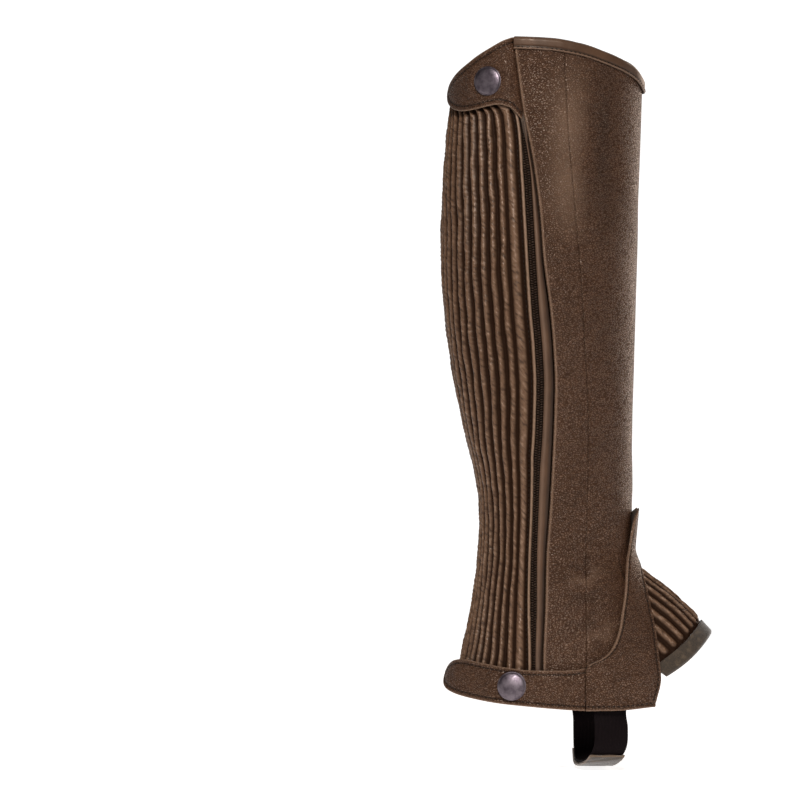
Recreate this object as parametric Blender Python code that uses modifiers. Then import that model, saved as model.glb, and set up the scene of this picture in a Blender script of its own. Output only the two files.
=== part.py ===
"""Half chap for a rider's right leg, in pebbled leather, filled out as on a leg.

The chap is a tube of leather pieces round a general leg, open at the knee and over the foot. The
toe side faces +X, the outer side -Y and the knee +Z. The origin is inside the leg, at the level
where the calf is widest. Sizes here are in millimetres, and meshes are made in metres.

Every panel lies on one surface, the outer face of the leather round the leg. A place on it is an
angle and a height: 0 degrees is the shin, 90 the outer side, 180 the back and -90 the inner side.
"Out" is the distance outside that surface, so a panel's wall runs from minus its thickness to 0.
"""

import math
from collections import namedtuple

import bmesh
import bpy
from mathutils import Vector

MM = 0.001  # metres in a millimetre

# Leather and cloth thicknesses
LEATHER = 1.6
PATCH = 1.2
BINDING = 1.0
TAPE = 1.0
STRAP = 1.4
RIB_VALLEY = 1.0
RIB_CREST = 2.6

# Gaps
SEAM_GAP = 0.3  # between pieces that meet at a seam
LAY_GAP = 0.85  # under a piece that lies on a panel, so that their flat faces stay clear
FOLD_GAP = 0.6  # between a panel and the binding folded round its edge
OPENING_LAP = 2.0  # the flaps reach this far past the panel's cut edge at the instep

# Widths and heights of strips
TOP_BINDING_DEPTH = 7.4
HEM_BINDING_DEPTH = 8.6
GUSSET_BAND_DEPTH = 10.0
STRAP_WIDTH = 20.0
PAD_WIDTH = 21.5

# The zip's tape, with its closed teeth, from the hem to the top binding
ZIP_FOOT = -270.0
ZIP_HEAD = 117.0
ZIP_WING = 8.0  # the tape reaches this far to each side under the leather
TEETH_WIDTH = 5.2  # across the closed row
TEETH_RISE = 1.6
TEETH_FLANK = 0.3  # width over which the row rises from the tape
TEETH_ROOM = 1.6  # the row is left out where the leather parts by less than this beside it
ZIP_ROWS = 26

# The leather-covered bead beside the zip
PLACKET_TOP = 72.0
PLACKET_RISE = 0.9
PLACKET_LAP = 0.8  # its front edge starts this far from the side panel's

# The ribbed panel's pleats: a turned edge, a broad pleat along the zip, and then even ones
RIBS = 16
RIB_EDGE_END = 3.2
BROAD_CREST = 7.1
BROAD_END = 10.3
GUSSET_RIBS = 16
INNER_FACE = -2.0  # the ribbed panel's plain inner face
PANEL_ROWS = 22  # rows of faces up each long panel, the same along every shared seam
ROW_CROWD = 1.25  # above 1, the rows lie closer at the foot, where the shape turns most

SNAP_RADIUS = 8.4
SNAP_EDGE = 0.9  # height of the cap's rim
SNAP_DOME = 2.9  # height of the cap's crown
SNAP_STEPS = 24

EGG = 0.12  # how much narrower the leg is at the shin than at the calf

LegSection = namedtuple("LegSection", "height back front half_width")
LEG = (
    LegSection(-290, -56.0, 83.0, 45.5),
    LegSection(-275, -54.5, 84.5, 44.5),
    LegSection(-263, -51.5, 84.5, 43.5),
    LegSection(-250, -47.3, 82.0, 42.0),
    LegSection(-229, -42.7, 75.5, 40.0),
    LegSection(-212, -39.8, 68.0, 38.5),
    LegSection(-196, -38.0, 58.9, 38.0),
    LegSection(-184, -37.2, 55.0, 38.0),
    LegSection(-170, -36.6, 55.3, 38.6),
    LegSection(-156, -37.2, 56.1, 39.8),
    LegSection(-137, -40.0, 56.3, 41.5),
    LegSection(-119, -44.5, 56.7, 44.0),
    LegSection(-82, -52.0, 57.6, 48.5),
    LegSection(-46, -57.4, 58.4, 51.5),
    LegSection(-10, -59.8, 59.1, 53.0),
    LegSection(28, -59.0, 59.8, 53.0),
    LegSection(64, -56.5, 60.8, 52.5),
    LegSection(98, -53.0, 62.6, 51.0),
    LegSection(130, -54.0, 65.0, 51.0),
)

# The finished edges round the knee and the foot, by angle
Edge = namedtuple("Edge", "angle height")
TOP_EDGE = (
    Edge(-180, 95.5),
    Edge(-150, 99.5),
    Edge(-120, 104.0),
    Edge(-90, 106.5),
    Edge(-60, 106.0),
    Edge(-30, 103.5),
    Edge(0, 100.0),
    Edge(34, 109.5),
    Edge(55, 115.2),
    Edge(73, 120.0),
    Edge(91, 122.8),
    Edge(112, 123.8),
    Edge(118, 117.0),
    Edge(135, 108.0),
    Edge(150, 101.0),
    Edge(180, 95.5),
)
HEM_EDGE = (
    Edge(-180, -264.0),
    Edge(-150, -267.5),
    Edge(-120, -269.5),
    Edge(-90, -273.5),
    Edge(-60, -279.5),
    Edge(-40, -279.5),
    Edge(40, -277.5),
    Edge(62, -278.5),
    Edge(90, -275.5),
    Edge(120, -270.5),
    Edge(150, -267.0),
    Edge(180, -264.0),
)

# Seams on the outer side, as they lie in the side view
OuterSeams = namedtuple("OuterSeams", "height rib_edge placket_edge side_edge front_seam")
OUTER_SEAMS = (
    OuterSeams(-285, -6.5, -4.0, 0.5, 27.0),
    OuterSeams(-255, -6.5, -4.0, 0.5, 27.0),
    OuterSeams(-217, -7.0, -3.0, 2.0, 27.0),
    OuterSeams(-190, -6.5, -2.8, 2.6, 27.3),
    OuterSeams(-162, -5.5, -2.0, 4.5, 27.8),
    OuterSeams(-134, -5.0, -1.0, 6.0, 28.3),
    OuterSeams(-112, -5.2, 0.4, 7.0, 28.3),
    OuterSeams(-86, -7.0, 1.0, 7.5, 27.4),
    OuterSeams(-64, -7.5, 0.0, 6.5, 25.8),
    OuterSeams(-41, -9.0, -2.0, 4.5, 24.6),
    OuterSeams(-10, -10.5, -4.0, 0.5, 22.7),
    OuterSeams(16, -10.5, -5.5, -1.5, 20.3),
    OuterSeams(40, -11.5, -7.0, -4.5, 18.0),
    OuterSeams(58, -12.4, -9.6, -7.5, 16.4),
    OuterSeams(76, -14.6, -12.2, -11.4, 15.1),
    OuterSeams(84, -21.0, -17.0, -12.6, 14.8),
    OuterSeams(93, -28.6, -20.0, -13.8, 14.4),
    OuterSeams(112, -30.5, -21.0, -16.2, 13.4),
    OuterSeams(126, -30.5, -21.0, -18.0, 13.0),
)

# The seam between the inner panel and the ribbed panel, by height
InnerSeam = namedtuple("InnerSeam", "height angle")
INNER_SEAM = (
    InnerSeam(-285, -141),
    InnerSeam(-212, -138),
    InnerSeam(-163, -134),
    InnerSeam(-119, -131),
    InnerSeam(-73, -134),
    InnerSeam(-32, -139.5),
    InnerSeam(16, -142),
    InnerSeam(64, -141),
    InnerSeam(120, -139),
)

# The instep flaps in the side view: the front edge is shared, and each has its own rear edge
FlapRow = namedtuple("FlapRow", "height outer_rear inner_rear")
FLAP_ROWS = (
    FlapRow(-281.0, 25.9, 48.4),
    FlapRow(-270.0, 25.9, 48.4),
    FlapRow(-257.0, 25.9, 48.5),
    FlapRow(-254.6, 27.0, 48.7),
    FlapRow(-251.5, 33.5, 49.0),
    FlapRow(-248.0, 38.3, 49.2),
    FlapRow(-243.5, 41.8, 49.4),
    FlapRow(-238.0, 44.2, 49.6),
    FlapRow(-231.0, 46.1, 49.2),
    FlapRow(-222.0, 47.5, 48.0),
    FlapRow(-212.0, 49.0, 46.0),
    FlapRow(-203.0, 49.8, 44.0),
    FlapRow(-194.0, 50.3, 43.0),
    FlapRow(-184.0, 51.2, 44.2),
    FlapRow(-175.0, 52.2, 47.4),
    FlapRow(-168.0, 53.4, 50.2),
    FlapRow(-164.0, 54.6, 52.6),
    FlapRow(-161.5, 55.8, 55.0),
)
InstepEdge = namedtuple("InstepEdge", "height front")
INSTEP_EDGE = (
    InstepEdge(-290.0, 65.0),
    InstepEdge(-279.5, 67.5),
    InstepEdge(-263.0, 71.0),
    InstepEdge(-249.5, 69.6),
    InstepEdge(-236.0, 68.0),
    InstepEdge(-222.0, 65.4),
    InstepEdge(-211.0, 63.0),
    InstepEdge(-203.0, 60.8),
    InstepEdge(-195.0, 58.4),
)
INSTEP_APEX = -195.0  # height where the flaps part over the instep
INSTEP_FOOT = -278.0  # height of the front panel's lower corners
OPENING_COLUMNS = (INSTEP_FOOT, -252.0, -232.0, -218.0, -207.0, -200.0, -196.2)
EVEN_RUN = 150.0  # the front panel's columns are even this far above the apex
FLAP_LIFT_START = -195.0  # above this the flaps rise off the shin, to their tip
FLAP_LIFT_RUN = 34.0
FLAP_GAP = 1.15  # under the flaps, where the leg curves both ways
FLAP_TIP_LIFT = 1.4

# The tabs over the zip's ends: lower and upper edge by angle
TabEdges = namedtuple("TabEdges", "angle lower upper")
TOP_TAB = (
    TabEdges(104, 72.5, 124.5),
    TabEdges(108, 76.5, 124.5),
    TabEdges(111, 79.6, 124.0),
    TabEdges(116, 81.8, 122.0),
    TabEdges(120, 82.4, 120.2),
    TabEdges(126, 81.6, 117.2),
    TabEdges(135, 79.8, 113.0),
    TabEdges(144, 79.0, 108.4),
    TabEdges(154, 80.2, 103.8),
    TabEdges(163, 83.0, 99.5),
    TabEdges(170, 86.3, 95.6),
    TabEdges(173, 89.3, 92.3),
)
TOP_TAB_END = 173.0
ANKLE_TAB = (
    TabEdges(76, -281.6, -254.0),
    TabEdges(82, -281.4, -255.8),
    TabEdges(88, -281.0, -257.0),
    TabEdges(95, -280.4, -257.5),
    TabEdges(109, -279.0, -257.5),
    TabEdges(125, -277.4, -256.0),
    TabEdges(141, -275.2, -254.0),
    TabEdges(156, -273.0, -252.8),
    TabEdges(166, -271.0, -254.4),
    TabEdges(173, -268.4, -257.6),
    TabEdges(177, -265.2, -261.2),
)
ANKLE_TAB_END = 177.0
ANKLE_TAB_SEAM = 25.6  # place of the seam to the outer flap, in the side view
TAB_OVER_ZIP = 2.1  # how far the tabs lie out over the zip and the ribs
TAB_SEAT = -0.9  # the top tab starts nearly level with the side panel
TAB_RISE = 5.5  # degrees over which it rises over the zip
HEEL_STAND_OFF = 3.2  # the ankle tab's end stands this much further off the heel

TOP_SNAP = Edge(127.6, 97.0)
ANKLE_SNAP = Edge(118.9, -267.0)
SNAP_FLAT = 9.2  # a tab is flat within this distance of its snap's centre
SNAP_BLEND = 8.0  # and takes up the leg's curve over this distance
CURVE_RADIUS = 52.0  # the leg's curve under the snaps

# The calf patch in the side view, from its foot up
PatchRow = namedtuple("PatchRow", "height rear front")
CALF_PATCH = (
    PatchRow(-145.0, 6.5, 25.0),
    PatchRow(-141.0, -4.0, 38.0),
    PatchRow(-134.0, -11.5, 44.0),
    PatchRow(-122.0, -15.5, 47.5),
    PatchRow(-108.0, -19.0, 50.0),
    PatchRow(-70.0, -24.5, 51.8),
    PatchRow(-30.0, -29.0, 52.6),
    PatchRow(10.0, -32.5, 53.2),
    PatchRow(45.0, -32.3, 53.8),
    PatchRow(60.0, -29.5, 53.0),
    PatchRow(69.0, -21.5, 49.5),
    PatchRow(74.0, -10.0, 44.0),
    PatchRow(77.0, 10.0, 33.0),
)

# The strap under the boot
STRAP_TOP = -258.0  # its ends are sewn inside the hem
STRAP_FREE = -292.0  # height where the strands leave the hem's curve
STRAP_HUG = 8.0  # and lie along the leg's surface from this far above it
STRAP_LOWEST = -313.9
STRAP_SPREAD = 35.0  # half the distance between the strands
STRAP_OUTER = 42.0  # the outer strand's place in the side view
STRAP_INNER = 31.5  # the inner strand's place
STRAP_FULLNESS = 0.72  # under 1, the loop is squarer than an ellipse
STRAP_HANG = 0.72  # share of the strap that hangs free below the hem
STRAP_TWIST_START = -0.1  # it shifts forward from here to the outer strand, by share of its half
STRAP_TWIST_RUN = 0.75
PAD_REACH = 0.42  # share of the loop that the wear pad covers

# The instep gusset, an arch that runs out over the foot
RIDGE_END = Vector((103.4, 0.0, -237.8))
TOE_BULGE = 2.2  # how far the free edge bows out between its ends
GUSSET_FOOT = Vector((73.6, 0.0, -263.6))
GUSSET_SEAM_LOW = -262.0
GUSSET_HALF_WIDTH = 22.0
GUSSET_TURN = 86.0  # the arch ends just short of a right angle to its ridge
BAND_END_GAP = 3.2  # the band stops this far from the flaps
GUSSET_BOW = 2.2  # how far its ridge bows up between the shin and its free edge
GUSSET_WALL = 1.2
GUSSET_CREST = 2.3
GUSSET_ROWS = (0.0, 0.14, 0.4, 0.66, 0.88, 1.0)  # shares of the way from its band to its seam
RIBBED_ROWS = (2, 3, 4)  # the rows between them that are ribbed

# Zip slider with its pull lying flat, under the top tab
SLIDER_SIZE = Vector((7.4, 2.0, 9.0))
PULL_SIZE = Vector((4.6, 1.1, 10.0))
SLIDER_PLACE = Edge(119.6, 110.0)
SLIDER_BEVEL = 0.3

Finish = namedtuple("Finish", "name colour roughness metallic")
PEBBLED = Finish("Pebbled brown leather", (0.105, 0.066, 0.047), 0.48, 0.0)
SMOOTH = Finish("Smooth brown leather", (0.125, 0.080, 0.058), 0.38, 0.0)
RIBBED = Finish("Ribbed brown leather", (0.090, 0.056, 0.038), 0.50, 0.0)
SUEDE = Finish("Brown suede", (0.105, 0.075, 0.048), 0.85, 0.0)
WEBBING = Finish("Black elastic", (0.012, 0.012, 0.014), 0.80, 0.0)
COIL = Finish("Brown zip", (0.060, 0.040, 0.030), 0.45, 0.0)
PEWTER = Finish("Pewter", (0.36, 0.34, 0.36), 0.30, 1.0)


class Course:
    """One column of a table, read smoothly along the table's first column."""

    def __init__(self, rows, column):
        self.at = [row[0] for row in rows]
        self.values = [getattr(row, column) for row in rows]
        self.slopes = self.rates()

    def rates(self):
        """Slope at each row, kept low enough that no stretch overshoots its ends."""
        steps = [
            (v1 - v0) / (a1 - a0)
            for a0, a1, v0, v1 in zip(self.at, self.at[1:], self.values, self.values[1:])
        ]
        inner = [
            0.0 if before * after <= 0.0 else 2.0 * before * after / (before + after)
            for before, after in zip(steps, steps[1:])
        ]
        return [steps[0]] + inner + [steps[-1]]

    def __call__(self, where):
        if where <= self.at[0]:
            return self.values[0] + self.slopes[0] * (where - self.at[0])
        if where >= self.at[-1]:
            return self.values[-1] + self.slopes[-1] * (where - self.at[-1])
        row = max(i for i, start in enumerate(self.at) if start <= where)
        span = self.at[row + 1] - self.at[row]
        s = (where - self.at[row]) / span
        return (
            (1 + 2 * s) * (1 - s) ** 2 * self.values[row]
            + s * (1 - s) ** 2 * span * self.slopes[row]
            + s * s * (3 - 2 * s) * self.values[row + 1]
            + s * s * (s - 1) * span * self.slopes[row + 1]
        )


leg_back = Course(LEG, "back")
leg_front = Course(LEG, "front")
leg_half_width = Course(LEG, "half_width")
top_edge = Course(TOP_EDGE, "height")
hem_edge = Course(HEM_EDGE, "height")
instep_front = Course(INSTEP_EDGE, "front")
inner_seam = Course(INNER_SEAM, "angle")


def mix(a, b, share):
    """The value a given share of the way from a to b."""
    return a + (b - a) * share


def ease(share):
    """0 to 1 with a soft start and end."""
    share = min(max(share, 0.0), 1.0)
    return share * share * (3.0 - 2.0 * share)


def wrapped(angle):
    """The same direction between -180 and 180 degrees."""
    return (angle + 180.0) % 360.0 - 180.0


def leg_surface(angle, height):
    """A point of the leather's outer face round the leg."""
    turn = math.radians(angle)
    back, front = leg_back(height), leg_front(height)
    return Vector(
        (
            mix(back, front, 0.5 + 0.5 * math.cos(turn)),
            -leg_half_width(height) * math.sin(turn) * (1.0 - EGG * math.cos(turn)),
            height,
        )
    )


def stand_off(surface, a, b, out):
    """The surface's point at (a, b), moved out along its normal."""
    along_a = surface(a + 0.5, b) - surface(a - 0.5, b)
    along_b = surface(a, b + 0.5) - surface(a, b - 0.5)
    return surface(a, b) + along_b.cross(along_a).normalized() * out


def on_leg(angle, height, out):
    """A point out from the leather round the leg."""
    return stand_off(leg_surface, angle, height, out)


def side_angle(x, height):
    """The angle on the outer side where the leg is at x in the side view."""
    back, front = leg_back(height), leg_front(height)
    reach = (2.0 * x - front - back) / (front - back)
    return math.degrees(math.acos(min(max(reach, -1.0), 1.0)))


def seam_angle(column):
    """The angle of an outer seam as a function of height."""
    course = Course(OUTER_SEAMS, column)
    return lambda height: side_angle(course(height), height)


rib_edge = seam_angle("rib_edge")
placket_edge = seam_angle("placket_edge")
side_edge = seam_angle("side_edge")
front_seam = seam_angle("front_seam")


def instep_angle(height, back_by=0.0):
    """The angle of the instep's cut edge, which parts at the apex."""
    if height > INSTEP_APEX:
        return 0.0
    return side_angle(instep_front(height) - back_by, height)


def gap_angle(width, height):
    """Degrees that a width takes up round the leg at the zip."""
    return math.degrees(2.0 * width / (leg_front(height) - leg_back(height)))


def finish_material(finish):
    """A Principled material in a finish, with its own name for each use."""
    material = bpy.data.materials.new(finish.name)
    material.use_nodes = True
    shader = material.node_tree.nodes["Principled BSDF"]
    shader.inputs["Base Color"].default_value = (*finish.colour, 1.0)
    shader.inputs["Roughness"].default_value = finish.roughness
    shader.inputs["Metallic"].default_value = finish.metallic
    return material


def add_object(name, mesh, finish, collection):
    """A named object of one mesh in one finish."""
    mesh.materials.append(finish_material(finish))
    if finish is not RIBBED:
        mesh.shade_smooth()
    piece = bpy.data.objects.new(name, mesh)
    collection.objects.link(piece)
    return piece


def add_wall(name, finish, columns, rows, place, thickness, grow, collection):
    """A wall of leather: a grid put in place by place(u, v) and given its thickness by Solidify.

    u runs towards larger angles and v upwards, so the grid faces into the leg. grow is -1 for a
    wall that thickens out of the leg and 1 for one that thickens along its own faces. thickness
    is a number, or a function of u and v for a wall with ribs.
    """
    shaped = callable(thickness)
    bm = bmesh.new()
    bmesh.ops.create_grid(bm, x_segments=columns, y_segments=rows, size=0.5)
    shares = [(vert.co.x + 0.5, vert.co.y + 0.5) for vert in bm.verts]
    for vert, (u, v) in zip(bm.verts, shares):
        vert.co = place(u, v) * MM
    mesh = bpy.data.meshes.new(name)
    bm.to_mesh(mesh)
    bm.free()
    piece = add_object(name, mesh, finish, collection)
    solidify = piece.modifiers.new("Thickness", "SOLIDIFY")
    solidify.offset = grow
    if shaped:
        walls = [thickness(u, v) for u, v in shares]
        solidify.thickness = max(walls) * MM
        group = piece.vertex_groups.new(name="Wall")
        for index, wall in enumerate(walls):
            group.add([index], wall / max(walls), "REPLACE")
        solidify.vertex_group = group.name
    else:
        solidify.thickness = thickness * MM
    mesh.set_sharp_from_angle(angle=math.radians(50))
    return piece


def panel_place(left, right, bottom, top, out):
    """place(u, v) for a panel between two seams, given by height, and two edges, given by angle."""

    def place(u, v):
        height = mix(-200.0, 60.0, v)
        for _ in range(6):
            angle = mix(left(height), right(height), u)
            height = mix(bottom(angle), top(angle), v**ROW_CROWD)
        return on_leg(angle, height, out)

    return place


def panel_bottom(angle):
    """Lower edge of the panels, above the fold of the hem binding or behind the stitched flaps."""
    return hem_edge(wrapped(angle)) + BINDING + FOLD_GAP


def panel_top(angle):
    """Upper edge of the panels, under the fold of the top binding."""
    return top_edge(wrapped(angle)) - BINDING - FOLD_GAP


def instep_height(angle):
    """Height of the instep's cut edge at an angle near the shin."""
    low, high = INSTEP_FOOT, INSTEP_APEX + OPENING_LAP
    if abs(angle) >= instep_angle(low, OPENING_LAP):
        return low
    for _ in range(20):
        middle = mix(low, high, 0.5)
        if instep_angle(middle, OPENING_LAP) > abs(angle) and middle < INSTEP_APEX:
            low = middle
        else:
            high = middle
    return high


def main_panel_bottom(angle):
    """The front panel's lower edge, cut away over the instep."""
    corner = instep_angle(INSTEP_FOOT, OPENING_LAP)
    if abs(angle) < corner:
        return instep_height(angle)
    return panel_bottom(angle)


def build_main_panel(collection):
    """One cut of leather from the outer front seam round the shin to the inner seam."""
    shin = [instep_angle(height, OPENING_LAP) for height in OPENING_COLUMNS]
    shin = [-angle for angle in shin] + [0.0] + shin[::-1]
    rear, front = 14, 5
    columns = rear + len(shin) - 1 + front

    def column_angle(column, height):
        inner = inner_seam(height) + gap_angle(SEAM_GAP, height)
        outer = front_seam(height) - gap_angle(SEAM_GAP, height)
        if column < rear:
            cut = mix(inner, shin[0], column / rear)
        elif column >= rear + len(shin):
            cut = mix(shin[-1], outer, (column - columns + front) / front)
        else:
            cut = shin[column - rear]
        return mix(cut, mix(inner, outer, column / columns), ease((height - INSTEP_APEX) / EVEN_RUN))

    def place(u, v):
        height = -100.0
        for _ in range(6):
            angle = column_angle(round(u * columns), height)
            height = mix(main_panel_bottom(angle), panel_top(angle), v**ROW_CROWD)
        return on_leg(angle, height, -LEATHER)

    add_wall("main_panel", PEBBLED, columns, PANEL_ROWS, place, LEATHER, -1, collection)


def build_side_panel(collection):
    """The outer side, from the front seam back to its turned edge along the zip."""
    place = panel_place(front_seam, side_edge, panel_bottom, panel_top, -LEATHER)
    add_wall("side_panel", PEBBLED, 5, PANEL_ROWS, place, LEATHER, -1, collection)


def build_rib_panel(collection):
    """The ribbed stretch panel, from the zip round the calf to the inner seam."""
    strip = (0.0, RIB_EDGE_END, BROAD_CREST, BROAD_END)
    columns = len(strip) - 1 + 2 * RIBS

    def column_angle(column, height):
        near, far = rib_edge(height), 360.0 + inner_seam(height)
        if column < len(strip):
            return near + gap_angle(strip[column], height)
        even = (column - len(strip) + 1) / (2 * RIBS)
        return mix(near + gap_angle(BROAD_END, height), far, even)

    def place(u, v):
        height = -100.0
        for _ in range(6):
            angle = column_angle(round(u * columns), height)
            height = mix(panel_bottom(angle), panel_top(angle), v**ROW_CROWD)
        return on_leg(angle, height, INNER_FACE)

    def wall(u, v):
        column, row = round(u * columns), round(v * PANEL_ROWS)
        if column in (0, columns) or row in (0, 1, PANEL_ROWS):
            return -INNER_FACE
        pleat = RIB_VALLEY if column % 2 else RIB_CREST
        return mix(-INNER_FACE, pleat, 0.6) if row == PANEL_ROWS - 1 else pleat

    add_wall("rib_panel", RIBBED, columns, PANEL_ROWS, place, wall, -1, collection)


def zip_line(height):
    """Angle of the zip's middle, between the ribs and the placket."""
    return mix(rib_edge(height), placket_edge(height), 0.5)


def build_zip_tape(collection):
    """The zip's tape under the leather, with its closed teeth raised along the middle."""
    half = TEETH_WIDTH / 2
    across = (-ZIP_WING, -half - TEETH_FLANK, -half, half, half + TEETH_FLANK, ZIP_WING)
    under = INNER_FACE - SEAM_GAP - TAPE

    def place(u, v):
        height = mix(ZIP_FOOT, ZIP_HEAD, v)
        offset = across[round(u * (len(across) - 1))]
        return on_leg(zip_line(height) - gap_angle(offset, height), height, under)

    def wall(u, v):
        height = mix(ZIP_FOOT, ZIP_HEAD, v)
        opening = abs(rib_edge(height) - placket_edge(height))
        wide = opening >= gap_angle(TEETH_WIDTH + TEETH_ROOM, height)
        below_slider = height < SLIDER_PLACE.height - SLIDER_SIZE.z
        on_teeth = abs(across[round(u * (len(across) - 1))]) == half
        return TAPE + TEETH_RISE if on_teeth and wide and below_slider else TAPE

    add_wall("zip_tape", COIL, len(across) - 1, ZIP_ROWS, place, wall, -1, collection)


def build_placket(collection):
    """The leather-covered bead between the zip and the side panel."""

    def front(height):
        return side_edge(height) + gap_angle(PLACKET_LAP, height)

    def wall(u, v):
        return LEATHER + PLACKET_RISE * math.sin(math.pi * u)

    place = panel_place(front, placket_edge, panel_bottom, lambda angle: PLACKET_TOP, -LEATHER)
    add_wall("placket", SMOOTH, 4, PANEL_ROWS, place, wall, -1, collection)


def snap_flat(snap, angle, height):
    """How far out a tab's point goes to lie flat round its snap."""
    to_side = (angle - snap.angle) * math.radians(CURVE_RADIUS)
    distance = math.hypot(to_side, height - snap.height)
    inside = 1.0 - ease((distance - SNAP_FLAT) / SNAP_BLEND)
    return inside * to_side * to_side / (2.0 * CURVE_RADIUS)


def build_top_tab(collection):
    """The tab over the zip's top end, sewn to the side panel and rounded at the back."""
    lower = Course(TOP_TAB, "lower")
    upper = Course(TOP_TAB, "upper")

    def place(u, v):
        height = 98.0
        for _ in range(5):
            seam = side_edge(height) + gap_angle(FOLD_GAP, height)
            angle = mix(seam, TOP_TAB_END, 0.5 - 0.5 * math.cos(u * math.pi))
            height = mix(lower(angle), min(upper(angle), top_edge(min(angle, 110.0))), v)
        rise = ease((angle - seam) / TAB_RISE)
        out = mix(TAB_SEAT, TAB_OVER_ZIP, rise) + snap_flat(TOP_SNAP, angle, height)
        return on_leg(angle, height, out)

    add_wall("top_tab", PEBBLED, 14, 8, place, LEATHER, -1, collection)


def build_ankle_tab(collection):
    """The tab over the zip's foot, sewn to the outer flap and rounded at the heel."""
    lower = Course(ANKLE_TAB, "lower")
    upper = Course(ANKLE_TAB, "upper")

    def place(u, v):
        height = -266.0
        for _ in range(5):
            seam = side_angle(ANKLE_TAB_SEAM - SEAM_GAP, height)
            angle = mix(seam, ANKLE_TAB_END, math.sin(u * math.pi / 2))
            height = mix(lower(angle), upper(angle), v)
        out = mix(LAY_GAP, TAB_OVER_ZIP, ease((angle - seam) / 16.0))
        out += HEEL_STAND_OFF * ease((angle - 135.0) / 40.0) + snap_flat(ANKLE_SNAP, angle, height)
        return on_leg(angle, height, out)

    add_wall("ankle_tab", PEBBLED, 16, 5, place, LEATHER, -1, collection)


def flap_out(height):
    """How far out the instep flaps lie: off the shin at their tip."""
    return FLAP_GAP + FLAP_TIP_LIFT * ease((height - FLAP_LIFT_START) / FLAP_LIFT_RUN)


def flap_lower(angle):
    """Lower edge of the outer flap, which the ankle tab carries on."""
    return mix(-280.0, -281.6, ease((angle - 40.0) / 25.0))


def build_outer_flap(collection):
    """The outer instep flap, a tongue at the shin that widens to the hem."""
    rear = Course(FLAP_ROWS, "outer_rear")
    heights = [row.height for row in FLAP_ROWS]

    def place(u, v):
        height = heights[round(v * (len(heights) - 1))]
        front_angle = max(instep_angle(height), gap_angle(SEAM_GAP / 2, height))
        angle = mix(front_angle, side_angle(rear(height), height), u)
        drop = ease((-257.0 - height) / (-257.0 - heights[0]))
        height += drop * (flap_lower(angle) - heights[0])
        return on_leg(angle, height, flap_out(height))

    add_wall("outer_flap", PEBBLED, 6, len(heights) - 1, place, LEATHER, -1, collection)


def build_inner_flap(collection):
    """The inner instep flap, a narrow band down to the hem binding."""
    rear = Course(FLAP_ROWS, "inner_rear")
    foot = hem_edge(-45.0) + HEM_BINDING_DEPTH + SEAM_GAP
    heights = [foot] + [row.height for row in FLAP_ROWS if row.height > foot + 3.0]

    def place(u, v):
        height = heights[round(v * (len(heights) - 1))]
        front_angle = max(instep_angle(height), gap_angle(SEAM_GAP / 2, height))
        angle = mix(side_angle(rear(height), height), front_angle, u)
        return on_leg(-angle, height, flap_out(height))

    add_wall("inner_flap", PEBBLED, 6, len(heights) - 1, place, LEATHER, -1, collection)


def binding_section(depth):
    """Points round the fold of a binding: (out, distance back from the folded edge)."""
    inside, outside = INNER_FACE - FOLD_GAP, FOLD_GAP
    return (
        (inside, depth),
        (inside, 0.5),
        (inside + 0.6, 0.0),
        (outside - 0.6, 0.0),
        (outside, 0.5),
        (outside, depth),
    )


def build_top_binding(collection):
    """The folded strip round the top edge, from the top tab round the leg to the zip."""
    section = binding_section(TOP_BINDING_DEPTH - BINDING)
    start = rib_edge(112.0) - 360.0 + gap_angle(ZIP_WING, 112.0)
    end = side_edge(118.0) - gap_angle(SEAM_GAP, 118.0)

    def place(u, v):
        out, back = section[round(v * (len(section) - 1))]
        angle = mix(start, end, u)
        return on_leg(angle, top_edge(wrapped(angle)) - BINDING - back, out)

    add_wall("top_binding", SMOOTH, 44, len(section) - 1, place, BINDING, 1, collection)


def build_hem_binding(collection):
    """The folded strip round the hem, from the inner front corner round the heel to the zip."""
    section = binding_section(HEM_BINDING_DEPTH - BINDING)
    start = rib_edge(-268.0) - 360.0 + gap_angle(ZIP_WING, -268.0)
    end = -instep_angle(-279.0)

    def place(u, v):
        out, up = section[round(v * (len(section) - 1))]
        angle = mix(start, end, u)
        return on_leg(angle, hem_edge(wrapped(angle)) + BINDING + up, out)

    add_wall("hem_binding", SMOOTH, 32, len(section) - 1, place, BINDING, -1, collection)


def build_calf_patch(collection):
    """The grip patch on the inner side of the calf."""
    rear = Course(CALF_PATCH, "rear")
    front = Course(CALF_PATCH, "front")
    low, high = CALF_PATCH[0].height, CALF_PATCH[-1].height

    def place(u, v):
        height = mix(low, high, 0.5 - 0.5 * math.cos(v * math.pi))
        angle = mix(side_angle(rear(height), height), side_angle(front(height), height), u)
        return on_leg(-angle, height, LAY_GAP)

    add_wall("calf_patch", PEBBLED, 13, 18, place, PATCH, -1, collection)


def instep_seam(turn):
    """Point of the gusset's sewn edge: 0 degrees is the apex and 90 the outer foot."""
    drop = 1.0 - math.cos(math.radians(turn))
    height = mix(INSTEP_APEX - 1.5, GUSSET_SEAM_LOW, drop)
    angle = math.copysign(instep_angle(height), turn)
    return on_leg(angle, height, -LEATHER)


def gusset_toe(turn):
    """Point of the gusset's free edge over the foot."""
    across = math.sin(math.radians(turn))
    down = 1.0 - math.cos(math.radians(turn))
    point = RIDGE_END.lerp(GUSSET_FOOT, down)
    slope = (RIDGE_END - GUSSET_FOOT).normalized()
    bow = Vector((-slope.z, 0.0, slope.x)) * -TOE_BULGE * math.sin(math.pi * down)
    return point + bow - Vector((0.0, GUSSET_HALF_WIDTH * across, 0.0))


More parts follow.
